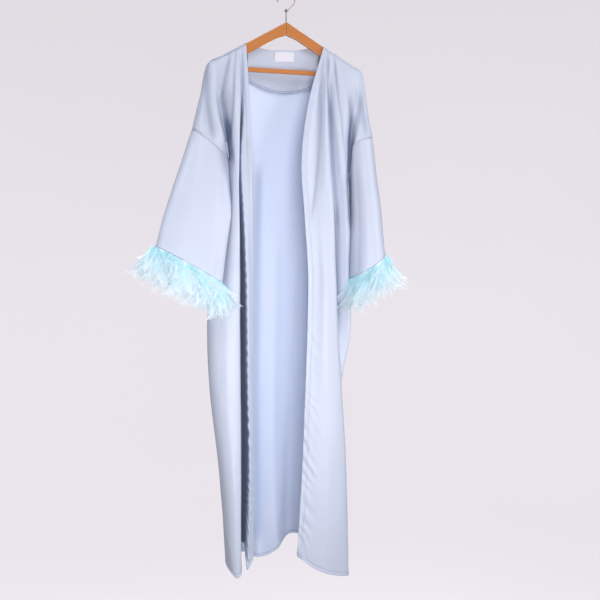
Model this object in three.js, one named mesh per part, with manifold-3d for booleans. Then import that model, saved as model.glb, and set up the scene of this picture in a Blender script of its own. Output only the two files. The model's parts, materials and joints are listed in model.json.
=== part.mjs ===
// An open-front satin abaya with feather cuffs, hanging on a flat wooden hanger.
// Millimetres. +Z is up, X runs along the hanger and the front of the cloth faces -Y.
// The origin is the inner top of the hook, where a rail or a hand holds it up.
// "Left" and "right" are as seen from the front.

import * as THREE from 'three';
import { mergeVertices } from 'three/addons/utils/BufferGeometryUtils.js';
import Module from 'manifold-3d';

// Cloth
const CLOTH = 1.5; // satin wall of the panels and sleeves
const SEAM_GAP = 0.3; // between pieces that are sewn together
const FACING = 1.2; // neck facing wall
const LABEL = 1.0; // woven label wall

// Hanger
const APEX_Z = -90; // top of the wood, below the inner top of the hook
const ARM_SLOPE = 0.58; // drop of an arm for each millimetre outward
const ARM_REACH = 214; // from the middle to an arm's tip
const ARM_DEPTH = 10; // board thickness, front to back
const ARM_FALL = 31; // height of an arm, measured straight down
const CROWN_FALL = 37; // the same at the middle
const CROWN_FLAT = 4; // half of the flat that carries the pin
const BAR_TOP_Z = -223;
const BAR_HEIGHT = 12;
const BAR_DEPTH = 8;
const WIRE = 1.5; // radius of the hook's wire
const HOOK_RADIUS = 26; // to the middle of the wire
const PIN_RADIUS = 1.6;
const PIN_TOP_Z = -56;

// The cloth rides this far above the arms, and rolls over them with these half sizes.
const RIDGE_RISE = 1.6;
const ROLL_DEPTH = 12;
const ROLL_FALL = 13;
const TIP_X = 222; // where the cloth turns down past an arm's tip

// Heights of the levels at which the fold lines below are given
const LEVELS = ['shoulder', 'chest', 'underarm', 'elbow', 'wrist', 'thigh', 'knee', 'calf', 'hem'];
const LEVEL_Z = { underarm: -485, elbow: -630, wrist: -790, thigh: -940, knee: -1110, calf: -1350 };

// Each row is a fold line that the cloth follows from the shoulder down to the hem. It holds
// x at the shoulder, then x and y at each level, and the hem's height.
const leftFront = [
  { line: 'front edge', shoulder: -119, chest: [-113, -32], underarm: [-111, -50], elbow: [-111, -57],
    wrist: [-110, -61], thigh: [-111, -63], knee: [-114, -64], calf: [-110, -64],
    hem: [-112, -62], hemZ: -1574 },
  { line: 'edge band', shoulder: -125, chest: [-134, -30], underarm: [-142, -45], elbow: [-137, -54],
    wrist: [-128, -57], thigh: [-125, -58], knee: [-124, -60], calf: [-121, -60],
    hem: [-131, -58], hemZ: -1598 },
  { line: 'deep fold', shoulder: -131, chest: [-140, -14], underarm: [-147, -14], elbow: [-144, -6],
    wrist: [-140, -2], thigh: [-139, 0], knee: [-138, 0], calf: [-136, 0], hem: [-140, -4], hemZ: -1548 },
  { line: 'crest', shoulder: -140, chest: [-147, -42], underarm: [-151, -58], elbow: [-152, -68],
    wrist: [-153, -73], thigh: [-154, -75], knee: [-154, -79], calf: [-152, -82],
    hem: [-152, -85], hemZ: -1607 },
  { line: 'face', shoulder: -165, chest: [-164, -42], underarm: [-156, -44], elbow: [-160, -52],
    wrist: [-174, -62], thigh: [-184, -66], knee: [-184, -80], calf: [-170, -86],
    hem: [-163, -88], hemZ: -1614 },
  { line: 'turn', shoulder: -192, chest: [-177, -28], underarm: [-160, -24], elbow: [-166, -26],
    wrist: [-190, -32], thigh: [-212, -42], knee: [-208, -58], calf: [-187, -68],
    hem: [-172, -72], hemZ: -1604 },
  { line: 'flank', shoulder: -208, chest: [-184, -16], underarm: [-163, -10], elbow: [-182, -10],
    wrist: [-208, -12], thigh: [-224, -16], knee: [-222, -28], calf: [-197, -34],
    hem: [-177, -38], hemZ: -1592 },
];

const rightFront = [
  { line: 'front edge', shoulder: 108, chest: [56, -30], underarm: [31, -46], elbow: [36, -57],
    wrist: [45, -62], thigh: [43, -64], knee: [36, -66], calf: [25, -69], hem: [10, -72], hemZ: -1570 },
  { line: 'edge band', shoulder: 113, chest: [68, -31], underarm: [44, -48], elbow: [49, -59],
    wrist: [58, -64], thigh: [57, -66], knee: [50, -68], calf: [39, -71], hem: [24, -74], hemZ: -1580 },
  { line: 'neck fold', shoulder: 119, chest: [91, -25], underarm: [78, -42], elbow: [66, -58],
    wrist: [76, -68], thigh: [76, -71], knee: [72, -73], calf: [62, -76], hem: [50, -79], hemZ: -1601 },
  { line: 'broad face', shoulder: 125, chest: [105, -38], underarm: [98, -56], elbow: [95, -66],
    wrist: [98, -77], thigh: [100, -80], knee: [102, -82], calf: [102, -86], hem: [96, -88], hemZ: -1622 },
  { line: 'crest', shoulder: 129, chest: [113, -32], underarm: [113, -50], elbow: [117, -64],
    wrist: [120, -70], thigh: [126, -72], knee: [137, -73], calf: [150, -74],
    hem: [159, -70], hemZ: -1634 },
  { line: 'deep fold', shoulder: 135, chest: [120, -20], underarm: [122, -28], elbow: [134, -30],
    wrist: [146, -12], thigh: [146, -8], knee: [148, -14], calf: [160, -34], hem: [167, -38], hemZ: -1630 },
  { line: 'side crest', shoulder: 150, chest: [140, -40], underarm: [154, -46], elbow: [169, -42],
    wrist: [176, -22], thigh: [184, -18], knee: [160, -8], calf: [156, -10], hem: [164, -12], hemZ: -1622 },
  { line: 'flank', shoulder: 190, chest: [174, -34], underarm: [172, -26], elbow: [178, -14],
    wrist: [180, -3], thigh: [186, -1], knee: [163, 6], calf: [152, 8], hem: [160, 10], hemZ: -1612 },
];

const back = [
  { line: 'left corner', shoulder: -190, chest: [-178, 26], underarm: [-166, 34], elbow: [-190, 34],
    wrist: [-206, 38], thigh: [-210, 42], knee: [-202, 46], calf: [-174, 50],
    hem: [-158, 52], hemZ: -1590 },
  { line: 'left hollow', shoulder: -150, chest: [-150, 30], underarm: [-148, 46], elbow: [-158, 50],
    wrist: [-172, 58], thigh: [-178, 62], knee: [-174, 68], calf: [-152, 74],
    hem: [-140, 78], hemZ: -1592 },
  { line: 'left fold', shoulder: -121, chest: [-122, 34], underarm: [-126, 50], elbow: [-132, 60],
    wrist: [-146, 76], thigh: [-152, 88], knee: [-150, 100], calf: [-132, 108],
    hem: [-122, 112], hemZ: -1592 },
  { line: 'left nape', shoulder: -112, neckZ: -154, neckY: 9, chest: [-106, 36], underarm: [-104, 54],
    elbow: [-106, 60], wrist: [-114, 66], thigh: [-118, 70], knee: [-116, 74], calf: [-104, 78],
    hem: [-98, 82], hemZ: -1584 },
  { line: 'left middle', shoulder: -58, neckZ: -166, neckY: 15, chest: [-58, 40], underarm: [-58, 62],
    elbow: [-60, 76], wrist: [-64, 90], thigh: [-66, 102], knee: [-66, 112], calf: [-64, 122],
    hem: [-50, 126], hemZ: -1608 },
  { line: 'centre', shoulder: -5, neckZ: -165, neckY: 16, chest: [-5, 42], underarm: [-5, 64],
    elbow: [-6, 76], wrist: [-7, 84], thigh: [-8, 90], knee: [-9, 94], calf: [-10, 98],
    hem: [2, 100], hemZ: -1588 },
  { line: 'right middle', shoulder: 50, neckZ: -161, neckY: 15, chest: [50, 40], underarm: [50, 62],
    elbow: [49, 78], wrist: [47, 94], thigh: [45, 106], knee: [44, 114], calf: [42, 120],
    hem: [44, 124], hemZ: -1550 },
  { line: 'right nape', shoulder: 101, neckZ: -147.5, neckY: 9, chest: [98, 36], underarm: [97, 54],
    elbow: [95, 66], wrist: [92, 76], thigh: [90, 82], knee: [88, 86], calf: [84, 90],
    hem: [80, 92], hemZ: -1548 },
  { line: 'right fold', shoulder: 110, chest: [112, 34], underarm: [118, 50], elbow: [120, 66],
    wrist: [120, 84], thigh: [119, 96], knee: [116, 104], calf: [108, 112], hem: [104, 116], hemZ: -1566 },
  { line: 'right hollow', shoulder: 150, chest: [146, 30], underarm: [150, 44], elbow: [148, 52],
    wrist: [144, 60], thigh: [141, 64], knee: [137, 68], calf: [126, 72], hem: [124, 74], hemZ: -1590 },
  { line: 'right corner', shoulder: 190, chest: [178, 26], underarm: [180, 30], elbow: [176, 38],
    wrist: [170, 44], thigh: [166, 48], knee: [152, 52], calf: [142, 54], hem: [142, 56], hemZ: -1604 },
];

// The crease from a hanger tip to the underarm, and the side seam below it. The chest's y is
// the crease's distance in front of the middle, and behind it on the back.
const sides = {
  left: { line: 'side', shoulder: -TIP_X, chest: [-188, 7], underarm: [-163, 0], underarmZ: -483.4,
    elbow: [-196, 8], wrist: [-214, 10], thigh: [-223, 10], knee: [-216, 10], calf: [-187, 12],
    hem: [-171, 12], hemZ: -1588 },
  right: { line: 'side', shoulder: TIP_X, chest: [197, 7], underarm: [184.8, 0], underarmZ: -506.3,
    elbow: [184, 8], wrist: [180, 14], thigh: [181, 15], knee: [164, 20], calf: [150, 22],
    hem: [154, 24], hemZ: -1606 },
};

// Sections of each sleeve from the armhole to the cuff: the middle, half of the width across,
// half of the depth front to back, and how steeply the width rises outward, in degrees.
const sleeveSections = {
  left: [
    { x: -217, y: 0, z: -442, half: 64, depth: 30, tilt: 37.4 },
    { x: -234, y: -30, z: -521, half: 74, depth: 30, tilt: 30 },
    { x: -250, y: -52, z: -601, half: 87, depth: 29, tilt: 25 },
    { x: -274, y: -68, z: -692, half: 95, depth: 29, tilt: 26 },
    { x: -291, y: -80, z: -775, half: 101, depth: 30, tilt: 28.5 },
  ],
  right: [
    { x: 221, y: 0, z: -451, half: 62, depth: 34, tilt: 56.8 },
    { x: 228, y: -3, z: -536, half: 48, depth: 45, tilt: 40 },
    { x: 235, y: -6, z: -620, half: 47, depth: 56, tilt: 30 },
    { x: 237, y: -8, z: -698, half: 52, depth: 62, tilt: 30 },
    { x: 238, y: -10, z: -770, half: 60, depth: 66, tilt: 34 },
  ],
};
const UNDERARM_EASE = 1.6; // the sleeve stands this far off the underarm corner
const FLAP_BULGE = { shoulder: 13, chest: 31, underarm: 4 }; // how far the cloth past a crease bellies out

// Neck facing and label, on the inside of the back
const LAYER_GAP = 0.6; // between layers that lie on each other
const FACING_LOW_Z = -285; // its lowest point, near the middle
const FACING_RISE = 34; // and how much higher its ends are
const FACING_HALF = 106;
const FACING_MIDDLE = -4;
const LABEL_LEFT = -29;
const LABEL_RIGHT = 27;
const LABEL_TOP = 5; // below the neckline
const LABEL_FALL = 28;

// Feather cuffs
const TAPE_FALL = 12;
const TAPE = 2; // wall of the tape with the quills sewn in
const LOCKS = 40; // on each cuff
const LOCK_HALF_WIDTH = 4;
const LOCK_HALF_DEPTH = 1.2;
const LOCK_SHORT = 90;
const LOCK_LONG = 150;

const satin = { color: 0xd3dbef, roughness: 0.35, metalness: 0 };
const inside = { color: 0xccdaf5, roughness: 0.6, metalness: 0 };
const feather = { color: 0xcdf3f7, roughness: 0.8, metalness: 0 };
const wood = { color: 0xc98a50, roughness: 0.45, metalness: 0 };
const wire = { color: 0xb9a27c, roughness: 0.3, metalness: 1 };
const label = { color: 0xf3f1f5, roughness: 0.7, metalness: 0 };

const vector = (x, y, z) => new THREE.Vector3(x, y, z);
const radians = THREE.MathUtils.degToRad;
const mix = THREE.MathUtils.lerp;

function mesh(name, geometry, look) {
  const part = new THREE.Mesh(geometry, new THREE.MeshStandardMaterial(look));
  part.name = name;
  return part;
}

function spline(points) {
  return new THREE.CatmullRomCurve3(points, false, 'centripetal');
}

// Point of a spline at a position counted in its own points
function along(curve, position) {
  return curve.getPoint(THREE.MathUtils.clamp(position / (curve.points.length - 1), 0, 1));
}

// A closed thin wall on a grid of points. Cells with a missing corner are left out. Each point
// moves half of the thickness both ways along its own normal, or along the outward direction
// that it is given, which is turned to the grid's own side.
function wall(grid, thickness, { closed = false, outwardAt = () => null } = {}) {
  const rows = grid.length;
  const columns = grid[0].length;
  const cells = [];
  for (let i = 0; i < rows - 1; i += 1) {
    for (let j = 0; j < (closed ? columns : columns - 1); j += 1) {
      const next = (j + 1) % columns;
      const corners = [[i, j], [i, next], [i + 1, next], [i + 1, j]];
      if (corners.every(([r, c]) => grid[r][c])) {
        cells.push(corners.map(([r, c]) => r * columns + c));
      }
    }
  }
  const point = (key) => grid[Math.floor(key / columns)][key % columns];
  const triangles = [];
  for (const [a, b, c, d] of cells) {
    const flip = point(a).distanceTo(point(c)) > point(b).distanceTo(point(d));
    triangles.push(...(flip ? [[a, d, b], [b, d, c]] : [[a, d, c], [a, c, b]]));
  }

  const normals = new Map();
  for (const [a, b, c] of triangles) {
    const normal = point(b).clone().sub(point(a)).cross(point(c).clone().sub(point(a)));
    for (const key of [a, b, c]) {
      if (!normals.has(key)) normals.set(key, vector(0, 0, 0));
      normals.get(key).add(normal);
    }
  }

  const given = new Map();
  let agreement = 0;
  for (const [key, normal] of normals) {
    const outward = outwardAt(Math.floor(key / columns), key % columns);
    given.set(key, outward);
    if (outward) agreement += outward.dot(normal.clone().normalize());
  }
  const side = agreement < 0 ? -1 : 1;

  const positions = [];
  const index = new Map();
  for (const [key, normal] of normals) {
    const outward = given.get(key);
    const direction = outward ? outward.clone().multiplyScalar(side) : normal.clone().normalize();
    const step = direction.multiplyScalar(thickness / 2);
    index.set(key, positions.length / 3);
    positions.push(...point(key).clone().add(step).toArray());
    positions.push(...point(key).clone().sub(step).toArray());
  }

  const faces = [];
  const edges = new Set(triangles.flatMap(([a, b, c]) => [`${a},${b}`, `${b},${c}`, `${c},${a}`]));
  for (const [a, b, c] of triangles) {
    const [p, q, r] = [a, b, c].map((key) => index.get(key));
    faces.push(p, q, r, p + 1, r + 1, q + 1);
    for (const [from, to] of [[a, b], [b, c], [c, a]]) {
      if (!edges.has(`${to},${from}`)) {
        const start = index.get(from);
        const end = index.get(to);
        faces.push(end, start, start + 1, end, start + 1, end + 1);
      }
    }
  }
  const geometry = new THREE.BufferGeometry();
  geometry.setAttribute('position', new THREE.Float32BufferAttribute(positions, 3));
  geometry.setIndex(faces);
  return geometry;
}

// Height of the line where front and back meet, along an arm
function ridgeZ(x) {
  return APEX_Z - ARM_SLOPE * Math.abs(x) + RIDGE_RISE;
}

// The points of a fold line at the levels, for the front (facing -1) or the back (+1)
function linePoints(row, facing) {
  const underarmZ = row.underarmZ ?? LEVEL_Z.underarm;
  const top = vector(row.shoulder, row.neckY ?? facing * ROLL_DEPTH, row.neckZ ?? ridgeZ(row.shoulder));
  const isSide = row.line === 'side';
  const chestY = isSide ? facing * row.chest[1] : row.chest[1];
  const points = [top, vector(row.chest[0], chestY, (top.z + underarmZ) / 2)];
  for (const level of LEVELS.slice(2)) {
    const z = { ...LEVEL_Z, underarm: underarmZ, hem: row.hemZ }[level];
    points.push(vector(row[level][0], row[level][1], z));
  }
  return points;
}

// Rows of the cloth from the top down. The first rows roll over the shoulder, by an angle.
const ROLL_ANGLES = [0, 22, 45, 67, 90].map(radians);
const CHEST_SPAN = 160;
const ROLL_END = ROLL_FALL / CHEST_SPAN;
const UPPER_ROWS = 8;
const LOWER_ROWS = [2.12, 2.3, 2.55, 2.8, 3.1, 3.5, 4, 4.5, 5, 5.5, 6, 6.5, 7, 7.5, 8];
const rows = ROLL_ANGLES.map((roll) => ({ level: (ROLL_FALL * (1 - Math.cos(roll))) / CHEST_SPAN, roll }));
for (let i = 1; i <= UPPER_ROWS; i += 1) {
  rows.push({ level: mix(ROLL_END, 2, i / UPPER_ROWS), roll: Math.PI / 2 });
}
const UNDERARM_ROW = rows.length - 1;
rows.push(...LOWER_ROWS.map((level) => ({ level, roll: Math.PI / 2 })));

// A fold line as a curve, with the roll over the shoulder where it starts on the ridge
function foldLine(row, facing) {
  const curve = spline(linePoints(row, facing));
  return (place) => {
    const point = along(curve, place.level);
    if (row.neckZ === undefined) {
      point.y = mix((facing * SEAM_GAP) / 2, point.y, Math.sin(place.roll));
    }
    return point;
  };
}

// The side line: on the underarm its wall lies flat against the other panel's, and by the
// first lower rows it has turned to face outward.
const SEAM_TURN = 0.3;

function seamTurn(place) {
  return THREE.MathUtils.clamp((place.level - 2) / SEAM_TURN, 0, 1) * (Math.PI / 2);
}

function sideLine(side, facing) {
  const points = linePoints(sides[side], facing);
  const crease = spline(points.slice(0, 3));
  const seam = spline(points.slice(2));
  return (place) => {
    const point = place.level < 2 ? along(crease, place.level) : along(seam, place.level - 2);
    const stand = SEAM_GAP / 2 + (CLOTH / 2) * Math.cos(seamTurn(place));
    if (place.level >= 2) {
      point.y += facing * stand;
    } else {
      point.y = facing * mix(SEAM_GAP / 2, Math.max(Math.abs(point.y), stand), Math.sin(place.roll));
    }
    return point;
  };
}

function sideOutward(side, facing, place) {
  const turn = seamTurn(place);
  return vector((side === 'left' ? -1 : 1) * Math.sin(turn), facing * Math.cos(turn), 0);
}

// A sleeve section, with unit directions across it and down the sleeve
function sleeveSection(side, position) {
  const sections = sleeveSections[side];
  const middle = along(spline(sections.map((s) => vector(s.x, s.y, s.z))), position);
  const size = along(spline(sections.map((s) => vector(s.half, s.depth, s.tilt))), position);
  const outward = side === 'left' ? -1 : 1;
  const tilt = radians(size.z);
  const across = vector(outward * Math.cos(tilt), 0, Math.sin(tilt));
  const down = vector(outward * Math.sin(tilt), 0, -Math.cos(tilt));
  return { middle, half: size.x, depth: size.y, across, down };
}

// Point and outward direction on a section's ring. Angle 0 is the outer edge, a quarter turn
// the front and a half turn the inner edge.
function ringPoint(section, angle) {
  return section.middle.clone()
    .addScaledVector(section.across, section.half * Math.cos(angle))
    .add(vector(0, -section.depth * Math.sin(angle), 0));
}

function ringOutward(section, angle) {
  return section.across.clone().multiplyScalar(Math.cos(angle) / section.half)
    .add(vector(0, -Math.sin(angle) / section.depth, 0)).normalize();
}

// Where a row of the cloth meets the armhole
const ARMHOLE_START = radians(50);
const ARMHOLE_END = radians(168);

function armholeAngle(place) {
  if (place.level <= ROLL_END) return (ARMHOLE_START * place.roll) / (Math.PI / 2);
  return mix(ARMHOLE_START, ARMHOLE_END, (place.level - ROLL_END) / (2 - ROLL_END));
}

function armholePoint(side, facing, place) {
  const angle = armholeAngle(place);
  const point = ringPoint(sleeveSection(side, 0), angle);
  const seam = (SEAM_GAP / 2) * Math.abs(Math.cos(angle));
  point.y = facing * (Math.abs(point.y) + seam);
  return point;
}

// Between a crease and the armhole the cloth bellies out.
const bulges = spline(LEVELS.slice(0, 3).map((level, k) => vector(FLAP_BULGE[level], k, 0)));

function flapPoint(side, facing, place) {
  const bulge = along(bulges, place.level).x;
  const middle = sideLine(side, facing)(place).lerp(armholePoint(side, facing, place), 0.5);
  middle.y = facing * mix(SEAM_GAP / 2, bulge, Math.sin(place.roll));
  return middle;
}

// One row of a panel as a curve through its fold lines. Down to the underarm it goes on past
// each crease to the armhole; `skipped` is how many of those points a lower row lacks in front.
function panelRow(panel, place) {
  const points = panel.lines.map((line) => line(place));
  const hasFlaps = place.level <= 2;
  if (hasFlaps) {
    const [first, last] = [panel.firstSide, panel.lastSide];
    if (first) {
      points.unshift(armholePoint(first, panel.facing, place), flapPoint(first, panel.facing, place));
    }
    points.push(flapPoint(last, panel.facing, place), armholePoint(last, panel.facing, place));
  }
  return { curve: spline(points), skipped: panel.firstSide && !hasFlaps ? 2 : 0 };
}

// A panel's wall. Each step between neighbouring lines has as many columns as `cuts` says. It
// meets the others face to face along the shoulder, at the armholes and down the sides.
function panelWall(panel) {
  const stepColumns = (count, k) => Array.from({ length: count }, (_, i) => k + i / count);
  const end = panel.cuts.length;
  const columns = [...panel.cuts.flatMap(stepColumns), end];
  const grid = rows.map((place) => {
    const { curve, skipped } = panelRow(panel, place);
    const last = skipped + curve.points.length - 1;
    return columns.map((column) => {
      if (column < skipped || column > last) return null;
      const point = along(curve, column - skipped);
      if (place.level <= 2) point.y = panel.facing * Math.max(panel.facing * point.y, SEAM_GAP / 2);
      return point;
    });
  });

  const outwardAt = (i, j) => {
    const place = rows[i];
    const ends = [[panel.firstSide, columns[j]], [panel.lastSide, end - columns[j]]];
    for (const [side, distance] of ends.filter(([name]) => name)) {
      if (distance === 0) {
        const outward = ringOutward(sleeveSection(side, 0), armholeAngle(place));
        outward.y = panel.facing * Math.abs(outward.y);
        return outward;
      }
      if (distance === 2 && i >= UNDERARM_ROW) return sideOutward(side, panel.facing, place);
      if (distance < 2 && i === UNDERARM_ROW) return vector(0, panel.facing, 0);
    }
    if (i > 0 || !panel.onRidge(grid[0][j].x)) return null;
    const run = grid[0][Math.min(j + 1, columns.length - 1)].clone().sub(grid[0][Math.max(j - 1, 0)]);
    return run.x < 0 ? vector(run.z, 0, -run.x).normalize() : vector(-run.z, 0, run.x).normalize();
  };
  return wall(grid, CLOTH, { outwardAt });
}

const everywhere = () => true;
const frontCuts = (table) => [1, ...table.slice(1).map(() => 2), 2, 2];

const panels = {
  front_left: {
    facing: -1, lastSide: 'left', onRidge: everywhere, cuts: frontCuts(leftFront),
    lines: [...leftFront.map((row) => foldLine(row, -1)), sideLine('left', -1)],
  },
  front_right: {
    facing: -1, lastSide: 'right', onRidge: everywhere, cuts: frontCuts(rightFront),
    lines: [...rightFront.map((row) => foldLine(row, -1)), sideLine('right', -1)],
  },
  back: {
    facing: 1, firstSide: 'left', lastSide: 'right',
    onRidge: (x) => x <= back[2].shoulder || x >= back[8].shoulder,
    cuts: [2, 2, 2, 2, 2, 1, 2, 2, 2, 2, 1, 2, 2, 2, 2, 2],
    lines: [sideLine('left', 1), ...back.map((row) => foldLine(row, 1)), sideLine('right', 1)],
  },
};

// Sleeves run from the armholes to the cuffs, with a few soft folds that grow downward.
const SLEEVE_ROWS = 9;
const SLEEVE_COLUMNS = 26;
const SLEEVE_FOLDS = 5;
const SLEEVE_FOLD_DEPTH = 2.5;

function ring(section, columns, fold = 0) {
  return Array.from({ length: columns }, (_, j) => {
    const angle = (j / columns) * 2 * Math.PI;
    const stand = fold * Math.sin(SLEEVE_FOLDS * angle);
    return ringPoint(section, angle).addScaledVector(ringOutward(section, angle), stand);
  });
}

function sleeve(side) {
  const lastSection = sleeveSections[side].length - 1;
  const shares = Array.from({ length: SLEEVE_ROWS }, (_, i) => i / (SLEEVE_ROWS - 1));
  const sections = shares.map((share) => sleeveSection(side, share * lastSection));
  const armhole = sections[0];
  armhole.middle.addScaledVector(armhole.down, SEAM_GAP).addScaledVector(armhole.across, UNDERARM_EASE / 2);
  armhole.half -= UNDERARM_EASE / 2;
  const grid = sections.map((section, i) => {
    const midSleeve = 4 * shares[i] * (1 - shares[i]);
    return ring(section, SLEEVE_COLUMNS, SLEEVE_FOLD_DEPTH * midSleeve);
  });
  const outwardAt = (i, j) => {
    if (i > 0 && i < SLEEVE_ROWS - 1) return null;
    return ringOutward(sections[i], (j / SLEEVE_COLUMNS) * 2 * Math.PI);
  };
  return wall(grid, CLOTH, { closed: true, outwardAt });
}

// Booleans
const wasm = await Module();
wasm.setup();

function solid(geometry) {
  const bare = geometry.clone();
  bare.deleteAttribute('normal');
  bare.deleteAttribute('uv');
  const merged = mergeVertices(bare, 1e-4);
  return new wasm.Manifold(new wasm.Mesh({
    numProp: 3,
    vertProperties: new Float32Array(merged.attributes.position.array),
    triVerts: new Uint32Array(merged.index.array),
  }));
}

function joined(geometries) {
  const [first, ...others] = geometries.map(solid);
  const total = others.reduce((sum, next) => sum.add(next), first).getMesh();
  const geometry = new THREE.BufferGeometry();
  geometry.setAttribute('position', new THREE.Float32BufferAttribute(total.vertProperties, 3));
  geometry.setIndex([...total.triVerts]);
  return geometry;
}

// A feather lock: four-sided, from a root in the tape over its widest part to a fine tip
const lockStations = [
  { place: 'root', at: 0, half: 0.5 },
  { place: 'widest', at: 0.45, half: 1 },
  { place: 'tip', at: 1, half: 0.16 },
];

function lock(root, direction, width, length) {
  const side = width.clone().normalize();
  const thin = direction.clone().cross(side).normalize();
  const points = lockStations.flatMap(({ at, half }) => {
    const middle = root.clone().addScaledVector(direction, at * length);
    return [[1, 0], [0, 1], [-1, 0], [0, -1]].map(([w, d]) => middle.clone()
      .addScaledVector(side, w * half * LOCK_HALF_WIDTH)
      .addScaledVector(thin, d * half * LOCK_HALF_DEPTH));
  });
  const faces = [0, 2, 1, 0, 3, 2, 8, 9, 10, 8, 10, 11];
  for (let station = 0; station < lockStations.length - 1; station += 1) {
    for (let k = 0; k < 4; k += 1) {
      const a = station * 4 + k;
      const b = station * 4 + ((k + 1) % 4);
      faces.push(a, b, b + 4, a, b + 4, a + 4);
    }
  }
  const geometry = new THREE.BufferGeometry();
  geometry.setAttribute('position', new THREE.Float32BufferAttribute(points.flatMap((p) => p.toArray()), 3));
  geometry.setIndex(faces);
  return geometry;
}

// The tape goes round the cuff, and the feathers hang from it and splay outward, least on the
// side next to the body.
const TAPE_COLUMNS = 32;
const ROOT_RISE = 4;
const SPLAY_OUTER = { left: 0.6, right: 0.34 };
const SPLAY_INNER = 0.04;
const LAYER_SPLAY = 0.55; // of every second lock, which lies closer to the arm
const LENGTH_TURN = 2.4; // the lengths go up and down by this angle from lock to lock
const WIDTH_STEP = 0.01; // angle between two points that give the direction round the cuff

function featherCuff(side) {
  const cuff = sleeveSection(side, sleeveSections[side].length - 1);
  const levels = [SEAM_GAP, SEAM_GAP + TAPE_FALL];
  const sections = levels.map((fall) => {
    const middle = cuff.middle.clone().addScaledVector(cuff.down, fall);
    return { ...cuff, middle };
  });
  const tape = wall(sections.map((section) => ring(section, TAPE_COLUMNS)), TAPE, {
    closed: true,
    outwardAt: (i, j) => ringOutward(cuff, (j / TAPE_COLUMNS) * 2 * Math.PI),
  });
  const pieces = [tape];
  for (let k = 0; k < LOCKS; k += 1) {
    const angle = ((k + 0.5) / LOCKS) * 2 * Math.PI;
    const outward = ringOutward(cuff, angle);
    const root = ringPoint(sections[1], angle).addScaledVector(cuff.down, -ROOT_RISE);
    const toOutside = (1 + Math.cos(angle)) / 2;
    const layerSplay = k % 2 === 0 ? 1 : LAYER_SPLAY;
    const splay = mix(SPLAY_INNER, SPLAY_OUTER[side], toOutside) * layerSplay;
    const direction = vector(0, 0, -1).addScaledVector(outward, splay).normalize();
    const width = ringPoint(cuff, angle + WIDTH_STEP).sub(ringPoint(cuff, angle - WIDTH_STEP));
    const length = mix(LOCK_SHORT, LOCK_LONG, 0.5 + 0.5 * Math.sin(LENGTH_TURN * k));
    pieces.push(lock(root, direction, width, length));
  }
  return joined(pieces);
}

// The facing and the label lie on the inside of the back, and are made from its points.
const NAPE_LEFT = 4;
const NAPE_RIGHT = 8;
const FACING_COLUMNS = 16;
const FACING_ROWS = 6;
const FACING_INSET = 0.06;
const SIDE_STEP = 0.05; // of a line, and millimetres down, between the points that give a direction
const DOWN_STEP = 2;

function backPoint(position, fall) {
  const place = { level: fall / CHEST_SPAN, roll: Math.PI / 2 };
  return along(panelRow(panels.back, place).curve, position + 2);
}

// The same, moved toward the front by a distance
function insidePoint(position, fall, distance) {
  const point = backPoint(position, fall);
  const across = backPoint(position + SIDE_STEP, fall).sub(backPoint(position - SIDE_STEP, fall));
  const above = backPoint(position, Math.max(fall - DOWN_STEP, 0));
  const normal = backPoint(position, fall + DOWN_STEP).sub(above).cross(across).normalize();
  return point.addScaledVector(normal, normal.y > 0 ? -distance : distance);
}

function layer(fromPosition, toPosition, columns, count, fallAt, distance, thickness) {
  const grid = [];
  for (let i = 0; i <= count; i += 1) {
    const row = [];
    for (let j = 0; j <= columns; j += 1) {
      const position = mix(fromPosition, toPosition, j / columns);
      const [top, bottom] = fallAt(position);
      row.push(insidePoint(position, mix(top, bottom, i / count), distance));
    }
    grid.push(row);
  }
  return wall(grid, thickness);
}

function facingFalls(position) {
  const top = backPoint(position, 0);
  const offside = (top.x - FACING_MIDDLE) / FACING_HALF;
  return [1, top.z - FACING_LOW_Z - FACING_RISE * offside * offside];
}

// Where a place across the neckline lies, counted in the back's lines
function positionAt(x) {
  let position = NAPE_LEFT;
  while (back[position].shoulder < x) position += 1;
  const [from, to] = [back[position - 1].shoulder, back[position].shoulder];
  return position + (x - from) / (to - from);
}

const facingDistance = CLOTH / 2 + LAYER_GAP + FACING / 2;
const labelDistance = facingDistance + FACING / 2 + LAYER_GAP + LABEL / 2;

function neckFacing() {
  return layer(NAPE_LEFT + FACING_INSET, NAPE_RIGHT - FACING_INSET, FACING_COLUMNS, FACING_ROWS,
    facingFalls, facingDistance, FACING);
}

function neckLabel() {
  return layer(positionAt(LABEL_LEFT), positionAt(LABEL_RIGHT), 3, 2,
    () => [LABEL_TOP, LABEL_TOP + LABEL_FALL], labelDistance, LABEL);
}

// Wooden hanger: two arms in one board, with a slim bar between them
const NOTCH_X = 30; // half of the notch under the crown
const TIP_ROUND = 6;
const TIP_CHAMFER = { out: 3, down: 2 };
const ARM_BEVEL = 2;
const BAR_BEVEL = 0.8;

function board(outline, depth, bevel) {
  const shape = new THREE.Shape(outline.map(([x, z]) => new THREE.Vector2(x, z)));
  const geometry = new THREE.ExtrudeGeometry(shape, {
    depth: depth - 2 * bevel,
    bevelThickness: bevel,
    bevelSize: bevel,
    bevelOffset: -bevel,
    bevelSegments: 2,
  });
  return geometry.translate(0, 0, bevel - depth / 2).rotateX(Math.PI / 2);
}

function mirrored(half) {
  return [...half, ...half.map(([x, z]) => [-x, z]).reverse()];
}

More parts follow.
